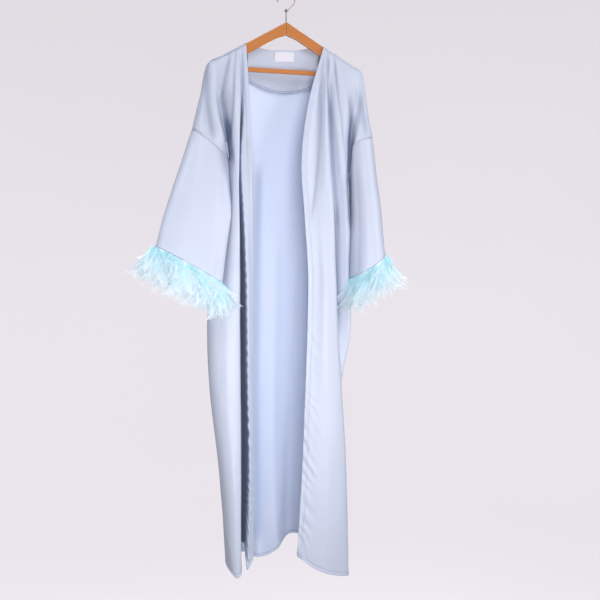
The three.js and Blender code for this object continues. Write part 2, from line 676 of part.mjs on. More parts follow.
function hangerArms() {
  const top = (x) => APEX_Z - ARM_SLOPE * x;
  const low = (x) => top(x) - ARM_FALL;
  const half = [
    [NOTCH_X, low(NOTCH_X)],
    [ARM_REACH - TIP_ROUND, low(ARM_REACH - TIP_ROUND)],
    [ARM_REACH, low(ARM_REACH) + TIP_ROUND],
    [ARM_REACH, top(ARM_REACH) - TIP_CHAMFER.down],
    [ARM_REACH - TIP_CHAMFER.out, top(ARM_REACH - TIP_CHAMFER.out)],
    [CROWN_FLAT, top(CROWN_FLAT)],
  ];
  const notch = [0, APEX_Z - CROWN_FALL];
  return board([...mirrored(half), notch], ARM_DEPTH, ARM_BEVEL);
}

function hangerBar() {
  const gap = SEAM_GAP / Math.sin(Math.atan(ARM_SLOPE));
  const underside = (z) => (APEX_Z - ARM_FALL - z) / ARM_SLOPE - gap;
  const low = BAR_TOP_Z - BAR_HEIGHT;
  const half = [[underside(low), low], [underside(BAR_TOP_Z), BAR_TOP_Z]];
  return board(mirrored(half), BAR_DEPTH, BAR_BEVEL);
}

// The hook: a wire bent round, with an eye that turns on the pin
const HOOK_START = radians(205);
const HOOK_END = radians(-58);
const HOOK_STEPS = 22;
const EYE_CLEARANCE = 0.4;
const THROAT = { out: 2.2, rise: 4 }; // the last bend before the eye, in its radii and millimetres

function hook() {
  const middleZ = WIRE - HOOK_RADIUS;
  const points = [];
  for (let i = 0; i <= HOOK_STEPS; i += 1) {
    const angle = mix(HOOK_START, HOOK_END, i / HOOK_STEPS);
    points.push(vector(HOOK_RADIUS * Math.cos(angle), 0, middleZ + HOOK_RADIUS * Math.sin(angle)));
  }
  const eyeRadius = PIN_RADIUS + EYE_CLEARANCE + WIRE;
  const eyeZ = PIN_TOP_Z - 2 * WIRE;
  points.push(vector(THROAT.out * eyeRadius, 0, eyeZ + THROAT.rise), vector(eyeRadius, 0, eyeZ));
  const section = new THREE.Shape().absarc(0, 0, WIRE, 0, 2 * Math.PI);
  const bend = new THREE.ExtrudeGeometry(section, {
    steps: 28,
    curveSegments: 4,
    extrudePath: spline(points),
  });
  const eye = new THREE.TorusGeometry(eyeRadius, WIRE, 8, 16).translate(0, 0, eyeZ);
  return joined([bend, eye]);
}

const HEAD = { radius: 3.4, height: 3, under: 1 };

function hookPin() {
  const base = APEX_Z - ARM_SLOPE * CROWN_FLAT + SEAM_GAP;
  const profile = [
    [0, base],
    [PIN_RADIUS, base],
    [PIN_RADIUS, PIN_TOP_Z - HEAD.under],
    [HEAD.radius, PIN_TOP_Z],
    [HEAD.radius, PIN_TOP_Z + HEAD.height / 2],
    [0, PIN_TOP_Z + HEAD.height],
  ].map(([radius, z]) => new THREE.Vector2(radius, z));
  return new THREE.LatheGeometry(profile, 16).rotateX(Math.PI / 2);
}

const abaya = new THREE.Group();
for (const [name, panel] of Object.entries(panels)) {
  abaya.add(mesh(name, panelWall(panel), satin));
}
abaya.add(
  mesh('sleeve_left', sleeve('left'), satin),
  mesh('sleeve_right', sleeve('right'), satin),
  mesh('feather_cuff_left', featherCuff('left'), feather),
  mesh('feather_cuff_right', featherCuff('right'), feather),
  mesh('neck_facing', neckFacing(), inside),
  mesh('neck_label', neckLabel(), label),
  mesh('hanger_arms', hangerArms(), wood),
  mesh('hanger_bar', hangerBar(), wood),
  mesh('hanger_hook', hook(), wire),
  mesh('hook_pin', hookPin(), wire),
);

export default abaya;
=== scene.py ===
# %% [markdown]
# # An open satin abaya with feather cuffs, on a wooden hanger
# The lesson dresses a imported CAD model: the CAD gives the size and the place of every piece,
# and this script gives the cloth its fine folds, the cuffs their feathers and everything its
# finish. All lengths in the tables are millimetres. X runs along the hanger, the front of the
# cloth faces -Y, and Z is up, with the origin at the inner top of the hook.

import json
import math

import bpy
import numpy as np
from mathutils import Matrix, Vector

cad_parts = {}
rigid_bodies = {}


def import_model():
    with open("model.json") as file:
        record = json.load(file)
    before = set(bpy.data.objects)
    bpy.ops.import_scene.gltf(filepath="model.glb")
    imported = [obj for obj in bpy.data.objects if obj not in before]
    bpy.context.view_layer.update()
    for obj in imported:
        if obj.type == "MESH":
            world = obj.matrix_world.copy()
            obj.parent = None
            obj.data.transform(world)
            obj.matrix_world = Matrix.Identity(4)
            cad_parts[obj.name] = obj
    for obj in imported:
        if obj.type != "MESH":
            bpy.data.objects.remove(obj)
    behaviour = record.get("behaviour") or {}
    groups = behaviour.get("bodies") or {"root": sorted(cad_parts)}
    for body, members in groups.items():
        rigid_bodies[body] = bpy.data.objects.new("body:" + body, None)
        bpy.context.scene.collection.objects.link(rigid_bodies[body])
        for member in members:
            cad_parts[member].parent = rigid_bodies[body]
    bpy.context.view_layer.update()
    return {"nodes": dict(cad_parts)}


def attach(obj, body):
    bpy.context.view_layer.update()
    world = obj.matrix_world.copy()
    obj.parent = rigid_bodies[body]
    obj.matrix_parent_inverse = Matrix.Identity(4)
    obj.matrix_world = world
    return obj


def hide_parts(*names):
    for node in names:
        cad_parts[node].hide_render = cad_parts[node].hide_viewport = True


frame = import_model()
scene = bpy.context.scene

# %% [markdown]
# ## Camera
# The photographer stood about three metres away, level with the middle of the garment and
# seventeen degrees round to its left. A long lens keeps the verticals straight. The place
# is worked out from the two directions of the picture, across and forward.

# %% Camera
MM = 0.001
TURN = math.radians(17)
DISTANCE = 3100 * MM
ASIDE = 39 * MM
EYE_Z = -868 * MM
LENS = 66.4

across = Vector((math.cos(TURN), -math.sin(TURN), 0))
forward = Vector((math.sin(TURN), math.cos(TURN), 0))
camera = bpy.data.objects.new("camera", bpy.data.cameras.new("camera"))
scene.collection.objects.link(camera)
camera.location = across * ASIDE - forward * DISTANCE + Vector((0, 0, EYE_Z))
camera.rotation_euler = forward.to_track_quat("-Z", "Y").to_euler()
camera.data.lens = LENS
camera.data.clip_end = 60
scene.camera = camera
print("camera at", tuple(round(v, 3) for v in camera.location))

# %% [markdown]
# ## Colours and nodes
# Every colour is written as the sRGB hex that a picture shows, and one function turns it to
# the linear values that the shader needs. One more function adds a node with its settings
# and its links, so that each material below reads as a short recipe.

# %% Colour and node helpers
def linear(code, alpha=1.0):
    parts = [int(code[k:k + 2], 16) / 255 for k in (0, 2, 4)]
    return (*[p / 12.92 if p <= 0.04045 else ((p + 0.055) / 1.055) ** 2.4 for p in parts], alpha)


def add_node(tree, kind, links=None, **settings):
    made = tree.nodes.new(kind)
    for name, value in settings.items():
        setattr(made, name, value)
    for name, value in (links or {}).items():
        socket = made.inputs[name]
        if isinstance(value, bpy.types.NodeSocket):
            tree.links.new(value, socket)
        else:
            socket.default_value = value
    return made


def new_material(name):
    material = bpy.data.materials.new(name)
    material.use_nodes = True
    material.node_tree.nodes.clear()
    return material, material.node_tree


# A colour mix's sockets by number: how much, the first colour and the second
HOW_MUCH, FIRST, SECOND, MIXED = 0, 6, 7, 2
print("white is", linear("ffffff"))

# %% Short names for the nodes that come back in every recipe
def cut_of(tree):
    """The place on the flat cut, in metres."""
    return add_node(tree, "ShaderNodeUVMap", uv_map="cut").outputs["UV"]


def place_of(tree):
    return add_node(tree, "ShaderNodeTexCoord").outputs["Object"]


def scaled(tree, place, scale):
    return add_node(tree, "ShaderNodeMapping", {"Vector": place, "Scale": scale}).outputs["Vector"]


def noise(tree, place, scale=1.0, detail=2.0, roughness=0.5):
    return add_node(tree, "ShaderNodeTexNoise", {
        "Vector": place, "Scale": scale, "Detail": detail,
        "Roughness": roughness}).outputs["Fac"]


def ribs(tree, place, scale, direction, distortion=0.0):
    return add_node(tree, "ShaderNodeTexWave", {
        "Vector": place, "Scale": scale, "Distortion": distortion},
        bands_direction=direction).outputs["Fac"]


def blend(tree, share, first, second):
    """A colour between two, each given by its hex code or by a socket."""
    first, second = (linear(c) if isinstance(c, str) else c for c in (first, second))
    return add_node(tree, "ShaderNodeMix", {HOW_MUCH: share, FIRST: first, SECOND: second},
                    data_type="RGBA").outputs[MIXED]


def ranged(tree, value, to, source=(0, 1)):
    """A value carried over from a source range to another one."""
    return add_node(tree, "ShaderNodeMapRange", {
        "Value": value, "From Min": source[0], "From Max": source[1],
        "To Min": to[0], "To Max": to[1]}).outputs["Result"]


def worked_out(tree, operation, *values):
    return add_node(tree, "ShaderNodeMath", dict(enumerate(values)),
                    operation=operation).outputs["Value"]


def bump(tree, height, strength, distance):
    return add_node(tree, "ShaderNodeBump", {
        "Strength": strength, "Distance": distance, "Height": height}).outputs["Normal"]


def surface(tree, inputs):
    """A Principled surface with these inputs, as the material's own."""
    shader = add_node(tree, "ShaderNodeBsdfPrincipled", inputs)
    add_node(tree, "ShaderNodeOutputMaterial", {"Surface": shader.outputs["BSDF"]})

# %% Meshes from tables of points
def ring_faces(rings, count):
    """Four-sided faces between rings of this many points, with each ring closed."""
    return [(k * count + j, k * count + (j + 1) % count,
             (k + 1) * count + (j + 1) % count, (k + 1) * count + j)
            for k in range(rings - 1) for j in range(count)]


def new_mesh(name, points, faces=(), edges=(), rounded=True):
    mesh = bpy.data.meshes.new(name)
    mesh.from_pydata(points, edges, faces)
    mesh.polygons.foreach_set("use_smooth", np.full(len(mesh.polygons), rounded))
    mesh.update()
    return mesh


def set_places(mesh, title, places):
    """A UV map that takes its place from each point."""
    corner_points = np.zeros(len(mesh.loops), np.int32)
    mesh.loops.foreach_get("vertex_index", corner_points)
    mesh.uv_layers.new(name=title).data.foreach_set("uv", places[corner_points].ravel())


def linked(name, mesh):
    made = bpy.data.objects.new(name, mesh)
    scene.collection.objects.link(made)
    return made


# %% [markdown]
# ## The cloth's fold lines
# The garment hangs in long folds, so its shape is a rule rather than a sculpture: each row
# of a table is a fold line that the cloth follows from the shoulder to the hem, and a
# smooth curve joins the rows at every height. The rows are those of the CAD, with a few
# points moved by some millimetres for the look of a fold, and sampled ten times as finely.

# %% Sizes of the cloth and its fold tables
CLOTH = 1.5
SEAM_GAP = 0.3
APEX_Z = -90
ARM_SLOPE = 0.58
RIDGE_RISE = 1.6
ROLL_DEPTH = 12
ROLL_FALL = 13
TIP_X = 222
LEVELS = ("shoulder", "chest", "underarm", "elbow", "wrist", "thigh", "knee", "calf", "hem")
LEVEL_Z = dict(underarm=-485, elbow=-630, wrist=-790, thigh=-940, knee=-1110, calf=-1350)


def table(*rows):
    """Rows of a name, x at the shoulder, (x, y) at every lower level, and z at the hem."""
    return [dict(line=name, shoulder=x, hem_z=hem_z, **dict(zip(LEVELS[1:], lower)))
            for name, x, *lower, hem_z in rows]


left_front = table(
    ("front edge", -119, (-113, -32), (-110, -46), (-108, -48), (-107, -50), (-108, -52),
     (-111, -54), (-107, -54), (-110, -56), -1574),
    ("edge band", -125, (-129, -30), (-143, -48), (-139, -60), (-130, -64), (-127, -65),
     (-126, -66), (-122, -66), (-127, -60), -1600),
    ("deep fold", -131, (-134, -14), (-147, -14), (-144, -6), (-140, -2), (-139, 0), (-138, 0),
     (-136, 0), (-140, -4), -1526),
    ("crest", -140, (-143, -42), (-151, -58), (-152, -68), (-153, -73), (-154, -75), (-154, -79),
     (-152, -82), (-152, -85), -1607),
    ("face", -165, (-162, -42), (-161, -52), (-166, -61), (-176, -69), (-184, -72), (-184, -80),
     (-170, -86), (-163, -88), -1614),
    ("turn", -192, (-179, -20), (-166, -28), (-172, -38), (-191, -40), (-213, -52), (-209, -66),
     (-188, -74), (-173, -78), -1604),
    ("flank", -208, (-186, -9), (-166, -11), (-183, -14), (-210, -18), (-226, -24), (-223, -36),
     (-198, -42), (-178, -44), -1592),
)
right_front = table(
    ("front edge", 108, (56, -30), (31, -46), (36, -57), (45, -62), (43, -64), (36, -66),
     (25, -69), (10, -72), -1570),
    ("edge band", 113, (68, -31), (44, -48), (49, -59), (58, -64), (57, -66), (50, -68), (39, -71),
     (24, -74), -1580),
    ("neck fold", 119, (91, -25), (78, -42), (66, -58), (76, -68), (76, -71), (72, -73), (62, -76),
     (50, -79), -1601),
    ("broad face", 125, (105, -38), (98, -56), (95, -66), (98, -77), (100, -80), (102, -82),
     (102, -86), (96, -88), -1622),
    ("crest", 129, (113, -32), (113, -50), (117, -64), (120, -70), (126, -72), (137, -73),
     (150, -74), (159, -70), -1634),
    ("deep fold", 135, (120, -20), (122, -28), (134, -30), (146, -12), (146, -8), (148, -14),
     (160, -34), (167, -38), -1630),
    ("side crest", 150, (140, -40), (154, -46), (169, -42), (176, -22), (184, -18), (160, -8),
     (156, -10), (164, -12), -1622),
    ("flank", 190, (174, -34), (176, -20), (187, -7), (184, -2), (186, -1), (163, 6), (152, 8),
     (160, 10), -1612),
)
back_lines = table(
    ("left corner", -190, (-178, 26), (-166, 34), (-190, 34), (-206, 38), (-210, 42), (-202, 46),
     (-174, 50), (-158, 52), -1590),
    ("left hollow", -150, (-150, 30), (-148, 46), (-158, 50), (-172, 58), (-178, 62), (-174, 68),
     (-152, 74), (-140, 78), -1592),
    ("left fold", -121, (-122, 34), (-126, 50), (-132, 60), (-146, 76), (-152, 88), (-150, 100),
     (-132, 108), (-122, 112), -1592),
    ("left nape", -112, (-106, 36), (-104, 54), (-106, 60), (-114, 66), (-118, 70), (-116, 74),
     (-104, 78), (-98, 82), -1584),
    ("left middle", -58, (-58, 40), (-58, 62), (-60, 76), (-64, 90), (-66, 102), (-66, 112),
     (-64, 122), (-44, 126), -1613),
    ("centre", -5, (-5, 42), (-5, 64), (-6, 76), (-7, 84), (-8, 90), (-9, 94), (-10, 98), (2, 100),
     -1588),
    ("right middle", 50, (50, 40), (50, 62), (49, 78), (47, 94), (45, 106), (44, 114), (42, 120),
     (44, 124), -1550),
    ("right nape", 101, (98, 36), (97, 54), (95, 66), (92, 76), (90, 82), (88, 86), (84, 90),
     (80, 92), -1548),
    ("right fold", 110, (112, 34), (118, 50), (120, 66), (120, 84), (119, 96), (116, 104),
     (108, 112), (104, 116), -1566),
    ("right hollow", 150, (146, 30), (150, 44), (148, 52), (144, 60), (141, 64), (137, 68),
     (126, 72), (124, 74), -1590),
    ("right corner", 190, (178, 26), (180, 30), (176, 38), (170, 44), (166, 48), (152, 52),
     (142, 54), (142, 56), -1604),
)
NECKLINE = {  # y and z of the back's lines between the shoulders
    "left nape": (9, -154), "left middle": (15, -166), "centre": (16, -165),
    "right middle": (15, -161), "right nape": (9, -147.5)}
# From a hanger tip down the crease to the underarm, and then down the side seam
sides = dict(zip(("left", "right"), table(
    ("side", -TIP_X, (-188, 7), (-163, 0), (-196, 8), (-214, 10), (-223, 10), (-216, 10),
     (-187, 12), (-171, 12), -1588),
    ("side", TIP_X, (197, 7), (184.8, 0), (184, 8), (180, 14), (181, 15), (164, 20), (150, 22),
     (154, 24), -1606),
)))
for side, z in (("left", -483.4), ("right", -506.3)):
    sides[side]["underarm_z"] = z

# Sections of a sleeve: its middle, half of its width, half of its depth, and its tilt
sleeve_sections = dict(
    left=[
        dict(place="armhole", x=-217, y=0, z=-442, half=64, depth=30, tilt=37.4),
        dict(place="upper arm", x=-234, y=-30, z=-521, half=74, depth=30, tilt=30),
        dict(place="elbow", x=-250, y=-52, z=-601, half=87, depth=29, tilt=25),
        dict(place="forearm", x=-274, y=-68, z=-692, half=95, depth=29, tilt=26),
        dict(place="cuff", x=-291, y=-80, z=-775, half=101, depth=30, tilt=28.5),
    ],
    right=[
        dict(place="armhole", x=221, y=0, z=-451, half=62, depth=34, tilt=56.8),
        dict(place="upper arm", x=225.5, y=-3, z=-536, half=50.5, depth=45, tilt=40),
        dict(place="elbow", x=231.5, y=-6, z=-620, half=50.5, depth=56, tilt=30),
        dict(place="forearm", x=234, y=-8, z=-698, half=55, depth=62, tilt=30),
        dict(place="cuff", x=236, y=-10, z=-770, half=62, depth=66, tilt=34),
    ],
)
print("fold lines:", len(left_front), "left,", len(right_front), "right,", len(back_lines), "back")

# %% [markdown]
# A centripetal spline passes through every point without loops, also where the points lie
# close together in a deep fold. It runs along the first axis of an array, so one call
# bends a whole family of rows at once.

# %% A spline through rows of points
def mix(a, b, share):
    return a + (b - a) * share


def smooth(x):
    x = np.clip(x, 0, 1)
    return x * x * (3 - 2 * x)


def gap_power(a, b):
    return np.sum((b - a) ** 2, axis=-1, keepdims=True) ** 0.25


def spline(points, at):
    points = np.asarray(points, float)
    last = len(points) - 1
    at = np.clip(np.asarray(at, float), 0, last)
    start = np.minimum(at.astype(int), last - 1)
    w = (at - start).reshape(-1, *[1] * (points.ndim - 1))
    ends = 2 * points[[0, -1]] - points[[1, -2]]
    padded = np.concatenate([ends[:1], points, ends[1:]])
    p0, p1, p2, p3 = (padded[start + k] for k in range(4))
    d1 = np.where(gap_power(p1, p2) < 1e-4, 1, gap_power(p1, p2))
    d0 = np.where(gap_power(p0, p1) < 1e-4, d1, gap_power(p0, p1))
    d2 = np.where(gap_power(p2, p3) < 1e-4, d1, gap_power(p2, p3))
    t1 = ((p1 - p0) / d0 - (p2 - p0) / (d0 + d1) + (p2 - p1) / d1) * d1
    t2 = ((p2 - p1) / d1 - (p3 - p1) / (d1 + d2) + (p3 - p2) / d2) * d1
    return (p1 + t1 * w + (3 * (p2 - p1) - 2 * t1 - t2) * w ** 2
            + (2 * (p1 - p2) + t1 + t2) * w ** 3)


# %% Rows of the cloth from the shoulder down
CHEST_SPAN = 160
ROLL_END = ROLL_FALL / CHEST_SPAN
ROLL_ROWS = 9
UPPER_ROWS = 48
LOWER_STEPS = (24, 26, 25, 28, 38, 34)  # between one level and the next, below the underarm
HEM_ROWS = 14  # more rows, for the hem's own band
HEM_SHARE = 0.08

roll_angles = np.linspace(0, math.pi / 2, ROLL_ROWS)
upper_levels = np.linspace(ROLL_END, 2, UPPER_ROWS + 1)[1:]
lower_levels = np.concatenate([
    2 + k + np.arange(1, steps + 1) / steps for k, steps in enumerate(LOWER_STEPS)])
last_level = 2 + len(LOWER_STEPS)
lower_levels = np.concatenate([
    lower_levels[lower_levels < last_level - HEM_SHARE],
    np.linspace(last_level - HEM_SHARE, last_level, HEM_ROWS)])
level = np.concatenate([ROLL_END * (1 - np.cos(roll_angles)), upper_levels, lower_levels])
roll = np.full(len(level), math.pi / 2)
roll[:ROLL_ROWS] = roll_angles
underarm_row = ROLL_ROWS + UPPER_ROWS - 1
print("rows of cloth:", len(level), "of which", underarm_row + 1, "down to the underarm")

# %% A fold line, a side line and a sleeve section
def line_points(row, facing):
    underarm_z = row.get("underarm_z", LEVEL_Z["underarm"])
    ridge_z = APEX_Z - ARM_SLOPE * abs(row["shoulder"]) + RIDGE_RISE
    top_y, top_z = NECKLINE.get(row["line"], (facing * ROLL_DEPTH, ridge_z))
    top = (row["shoulder"], top_y, top_z)
    chest_y = row["chest"][1] * (facing if row["line"] == "side" else 1)
    heights = {**LEVEL_Z, "underarm": underarm_z, "hem": row["hem_z"]}
    lower = [(*row[name], heights[name]) for name in LEVELS[2:]]
    return np.array([top, (row["chest"][0], chest_y, (top_z + underarm_z) / 2), *lower], float)


def fold_line(row, facing):
    path = spline(line_points(row, facing), level)
    if row["line"] not in NECKLINE:
        path[:, 1] = mix(facing * SEAM_GAP / 2, path[:, 1], np.sin(roll))
    return path


SEAM_TURN = 0.3


def side_line(side, facing):
    points = line_points(sides[side], facing)
    crease = spline(points[:3], np.minimum(level, 2))
    seam = spline(points[2:], np.maximum(level - 2, 0))
    turn = np.clip((level - 2) / SEAM_TURN, 0, 1) * math.pi / 2
    stand = SEAM_GAP / 2 + CLOTH / 2 * np.cos(turn)
    path = np.where(level[:, None] < 2, crease, seam)
    rolled = facing * mix(SEAM_GAP / 2, np.maximum(abs(path[:, 1]), stand), np.sin(roll))
    path[:, 1] = np.where(level < 2, rolled, path[:, 1] + facing * stand)
    return path


def sleeve_section(side, positions):
    rows = sleeve_sections[side]
    middle = spline([(r["x"], r["y"], r["z"]) for r in rows], positions)
    half, depth, tilt = spline([(r["half"], r["depth"], r["tilt"]) for r in rows], positions).T
    out = -1 if side == "left" else 1
    tilt, flat = np.radians(tilt), np.zeros(len(tilt))
    return dict(middle=middle, half=half, depth=depth,
                across=np.stack([out * np.cos(tilt), flat, np.sin(tilt)], -1),
                down=np.stack([out * np.sin(tilt), flat, -np.cos(tilt)], -1))


def ring_point(section, angle):
    """Points round a section: 0 is the outer edge, a quarter turn the front."""
    side_step = section["across"] * (section["half"] * np.cos(angle))[..., None]
    front_step = (section["depth"] * np.sin(angle))[..., None] * np.array([0, -1, 0])
    return section["middle"] + side_step + front_step


def ring_outward(section, angle):
    side_part = section["across"] * (np.cos(angle) / section["half"])[..., None]
    front_part = (np.sin(angle) / section["depth"])[..., None] * np.array([0, -1, 0])
    outward = side_part + front_part
    return outward / np.linalg.norm(outward, axis=-1, keepdims=True)


print("left cuff is", round(2 * float(sleeve_section("left", [4])["half"][0])), "mm wide")

# %% The cloth past a crease, up to the armhole
ARMHOLE_START = math.radians(50)
ARMHOLE_END = math.radians(168)
FLAP_BULGE = (13, 31, 4)


# On the right the front of the armhole rises to the crease, and then drops along it
ARMHOLE_LIFT = dict(left=0, right=66)
LIFT_FROM, LIFT_RISE, LIFT_TO, LIFT_DROP = 15, 135, 166, 22  # degrees round the armhole


def armhole_lift(side, angle):
    turned = np.degrees(angle)
    rise = smooth((turned - LIFT_FROM) / LIFT_RISE)
    return ARMHOLE_LIFT[side] * rise * smooth((LIFT_TO - turned) / LIFT_DROP)


def armhole_line(side, facing):
    opening = mix(ARMHOLE_START, ARMHOLE_END, (level - ROLL_END) / (2 - ROLL_END))
    angle = np.where(level <= ROLL_END, ARMHOLE_START * roll / (math.pi / 2), opening)
    path = ring_point(sleeve_section(side, np.zeros(len(level))), angle)
    path[:, 1] = facing * (abs(path[:, 1]) + SEAM_GAP / 2 * abs(np.cos(angle)))
    if facing < 0:
        path[:, 2] += armhole_lift(side, angle)
    return path


def flap_line(side, facing):
    bulge = spline([(size, k, 0) for k, size in enumerate(FLAP_BULGE)], level)[:, 0]
    path = (side_line(side, facing) + armhole_line(side, facing)) / 2
    path[:, 1] = facing * mix(SEAM_GAP / 2, bulge, np.sin(roll))
    return path


# %% [markdown]
# A panel is a grid of points: rows down the cloth, and columns across its fold lines. Down
# to the underarm the panel also runs on past its crease to the armhole, and below it those
# columns are left empty.

# %% Panels as grids of points
STEP_COLUMNS = 10  # columns between one fold line and the next


def panel_grid(rows, facing, last_side, first_side=None):
    lines = [fold_line(row, facing) for row in rows]
    before = []
    if first_side:
        lines.insert(0, side_line(first_side, facing))
        before = [armhole_line(first_side, facing), flap_line(first_side, facing)]
    lines.append(side_line(last_side, facing))
    after = [flap_line(last_side, facing), armhole_line(last_side, facing)]
    whole = np.stack(before + lines + after)
    columns = np.arange((len(whole) - 1) * STEP_COLUMNS + 1) / STEP_COLUMNS
    upper = spline(whole, columns)
    upper[..., 1] = facing * np.maximum(facing * upper[..., 1], SEAM_GAP / 2)
    lower = spline(np.stack(lines), columns - len(before))
    outside = (columns < len(before)) | (columns > len(before) + len(lines) - 1)
    lower[outside] = np.nan
    grid = np.where((np.arange(len(level)) <= underarm_row)[None, :, None], upper, lower)
    return grid.transpose(1, 0, 2), columns - len(before)


panels = dict(
    front_left=panel_grid(left_front, -1, last_side="left"),
    front_right=panel_grid(right_front, -1, last_side="right"),
    back=panel_grid(back_lines, 1, first_side="left", last_side="right"),
)
for name, (grid, columns) in panels.items():
    print(name, "grid:", grid.shape[0], "rows by", grid.shape[1], "columns")

# %% [markdown]
# ## Fine folds
# The tables give the folds that hold the garment's shape. Between them satin shows soft,
# uneven troughs and ridges, placed here from the picture, and alike on the sides
# that it doesn't show. Each is a path down the cloth; the cloth moves along its own normal,
# most on the path and less and less beside it.

# %% Distances on the cloth, and a soft random relief
def normals_of(grid):
    """Unit normals of a grid of points, from its neighbours, with empty points left empty."""
    padded = np.pad(grid, ((1, 1), (1, 1), (0, 0)), constant_values=np.nan)
    here = padded[1:-1, 1:-1]
    steps = []
    for before, after in ((padded[:-2, 1:-1], padded[2:, 1:-1]),
                          (padded[1:-1, :-2], padded[1:-1, 2:])):
        low = np.where(np.isnan(before), here, before)
        high = np.where(np.isnan(after), here, after)
        steps.append(high - low)
    normal = np.cross(steps[1], steps[0])
    return normal / np.maximum(np.linalg.norm(normal, axis=-1, keepdims=True), 1e-9)


def run_length(grid, axis, from_end=False):
    """Distance along the rows or columns, in millimetres, from one edge of the cloth."""
    steps = np.linalg.norm(np.diff(grid, axis=axis), axis=-1)
    steps = np.nan_to_num(steps)
    if from_end:
        steps = np.flip(steps, axis)
    total = np.cumsum(steps, axis=axis)
    start = np.zeros_like(np.take(total, [0], axis=axis))
    total = np.concatenate([start, total], axis=axis)
    return np.flip(total, axis) if from_end else total


def relief(u, v, size_u, size_v, seed):
    """Soft random hills from -1 to 1, of a given size in millimetres each way."""
    table = np.random.default_rng(seed).uniform(-1, 1, (64, 64))
    x, y = np.nan_to_num(u) / size_u, np.nan_to_num(v) / size_v
    i, j = np.floor(x).astype(int), np.floor(y).astype(int)
    a, b = smooth(x - i), smooth(y - j)
    corner = [[table[(i + p) % 64, (j + q) % 64] for q in (0, 1)] for p in (0, 1)]
    return mix(mix(corner[0][0], corner[1][0], a), mix(corner[0][1], corner[1][1], a), b)


# %% Troughs and ridges, as paths of (x, z) with a width and a height
# Each is its width, its height, how much painted shade it gets, and its path
creases = dict(
    front_left=[
        (4, -2.8, 0.35, (-147, -185), (-156, -248), (-161, -308), (-167, -378), (-171, -433)),
        (4, -2.6, 0.35, (-168, -205), (-179, -250), (-188, -300), (-190, -330)),
        (6, -2.0, 0.4, (-186, -305), (-180, -360), (-175, -400)),
        (5, -3.4, 0.95, (-176, -380), (-171, -420), (-167, -465), (-165, -490)),
        (9, 0, 0.25, (-180, -280), (-174, -350), (-170, -410)),
        (6, 3.0, 0, (-158, -190), (-167, -250), (-175, -290), (-178, -320)),
        (6, 2.6, 0, (-150, -190), (-154, -260), (-157, -350), (-156, -450), (-156, -520)),
        (9, -2.8, 0.5, (-228, -235), (-230, -300), (-226, -360), (-217, -425)),
        (8, 3.2, 0, (-217, -225), (-209, -310), (-199, -385), (-186, -440)),
        (6, 2.0, 0, (-250, -360), (-254, -400), (-258, -440)),
        (12, 1.4, 0, (-176, -640), (-190, -900), (-186, -1150), (-172, -1400)),
        (16, -1.0, 0, (-196, -1040), (-186, -1160), (-176, -1300)),
        (16, 0, 0.15, (-126, -420), (-120, -700), (-117, -1560)),
    ],
    front_right=[
        (5, -2.2, 0.35, (104, -191), (93, -290), (89, -381), (79, -492), (68, -570), (57, -637)),
        (5, -3.6, 0.6, (118, -191), (116, -273), (121, -344), (124, -430), (128, -500),
         (133, -560), (138, -669)),
        (4, -2.6, 0.4, (138, -191), (141, -290), (149, -364), (157, -430)),
        (7, -2.0, 0.5, (180, -300), (180, -380), (176, -440)),
        (7, -2.0, 1.0, (192, -330), (188, -400), (181, -470), (177, -530), (178, -600),
         (180, -650)),
        (6, 0, 0.9, (190, -420), (187, -460), (184, -510), (185, -560), (187, -630)),
        (9, 0, 1.0, (169, -520), (171, -560), (176, -610), (181, -660)),
        (6, 2.4, 0, (128, -200), (129, -290), (136, -364), (142, -440), (148, -520)),
        (8, 2.0, 0, (106, -230), (104, -320), (104, -420), (98, -540)),
        (8, 2.2, 0, (160, -210), (164, -290), (168, -350)),
        (5, 2.6, 0, (199, -270), (200, -340), (198, -400)),
        (12, 1.6, 0, (75, -560), (85, -760), (82, -980), (72, -1200), (62, -1420)),
        (16, -1.0, 0, (92, -1150), (84, -1400), (78, -1560)),
        (14, 1.2, 0, (120, -800), (122, -1100), (126, -1500)),
        (10, -1.5, 0.4, (214, -285), (222, -350), (227, -400)),
    ],
    back=[
        (16, -2.0, 0, (-34, -520), (-40, -800), (-44, -1150), (-30, -1560)),
        (20, -2.0, 0, (62, -720), (60, -1000), (56, -1250), (48, -1560)),
        (14, -3.0, 0.08, (52, -980), (40, -1150), (26, -1304), (16, -1500)),
        (12, 0, 0.65, (-62, -500), (-59, -800), (-58, -1200), (-50, -1560)),
        (14, 2.0, 0, (20, -620), (14, -900), (6, -1250), (14, -1580)),
        (12, 3.6, 0, (-140, -230), (-128, -420), (-118, -700)),
        (10, -3.2, 0, (-112, -220), (-108, -420), (-104, -760)),
        (12, -3.6, 0, (140, -240), (134, -420), (126, -620)),
        (10, 3.2, 0, (114, -220), (112, -430), (106, -820)),
        (10, -2.0, 0, (-196, -250), (-180, -360), (-170, -460)),
        (10, -2.0, 0, (200, -260), (186, -370), (182, -480)),
        (18, 2.6, 0, (-150, -700), (-160, -960), (-150, -1300), (-130, -1580)),
        (16, 2.4, 0, (118, -760), (112, -1000), (104, -1300), (98, -1560)),
    ],
)
FADE = 60  # a crease comes and goes over this length
# Painted shade in folds that hardly any light reaches: between which fold lines, between which
# heights, how dark, and how far the first line leads at the top
PAINTED_FOLD_SHADE = dict(front_left=dict(lines=(1.0, 2.97), ramp=0.15, z=(-300, -1700), share=1.0, lead=0.15),
            front_right=dict(lines=(4.1, 5.5), ramp=0.3, z=(-540, -1010), share=0.75, lead=0))
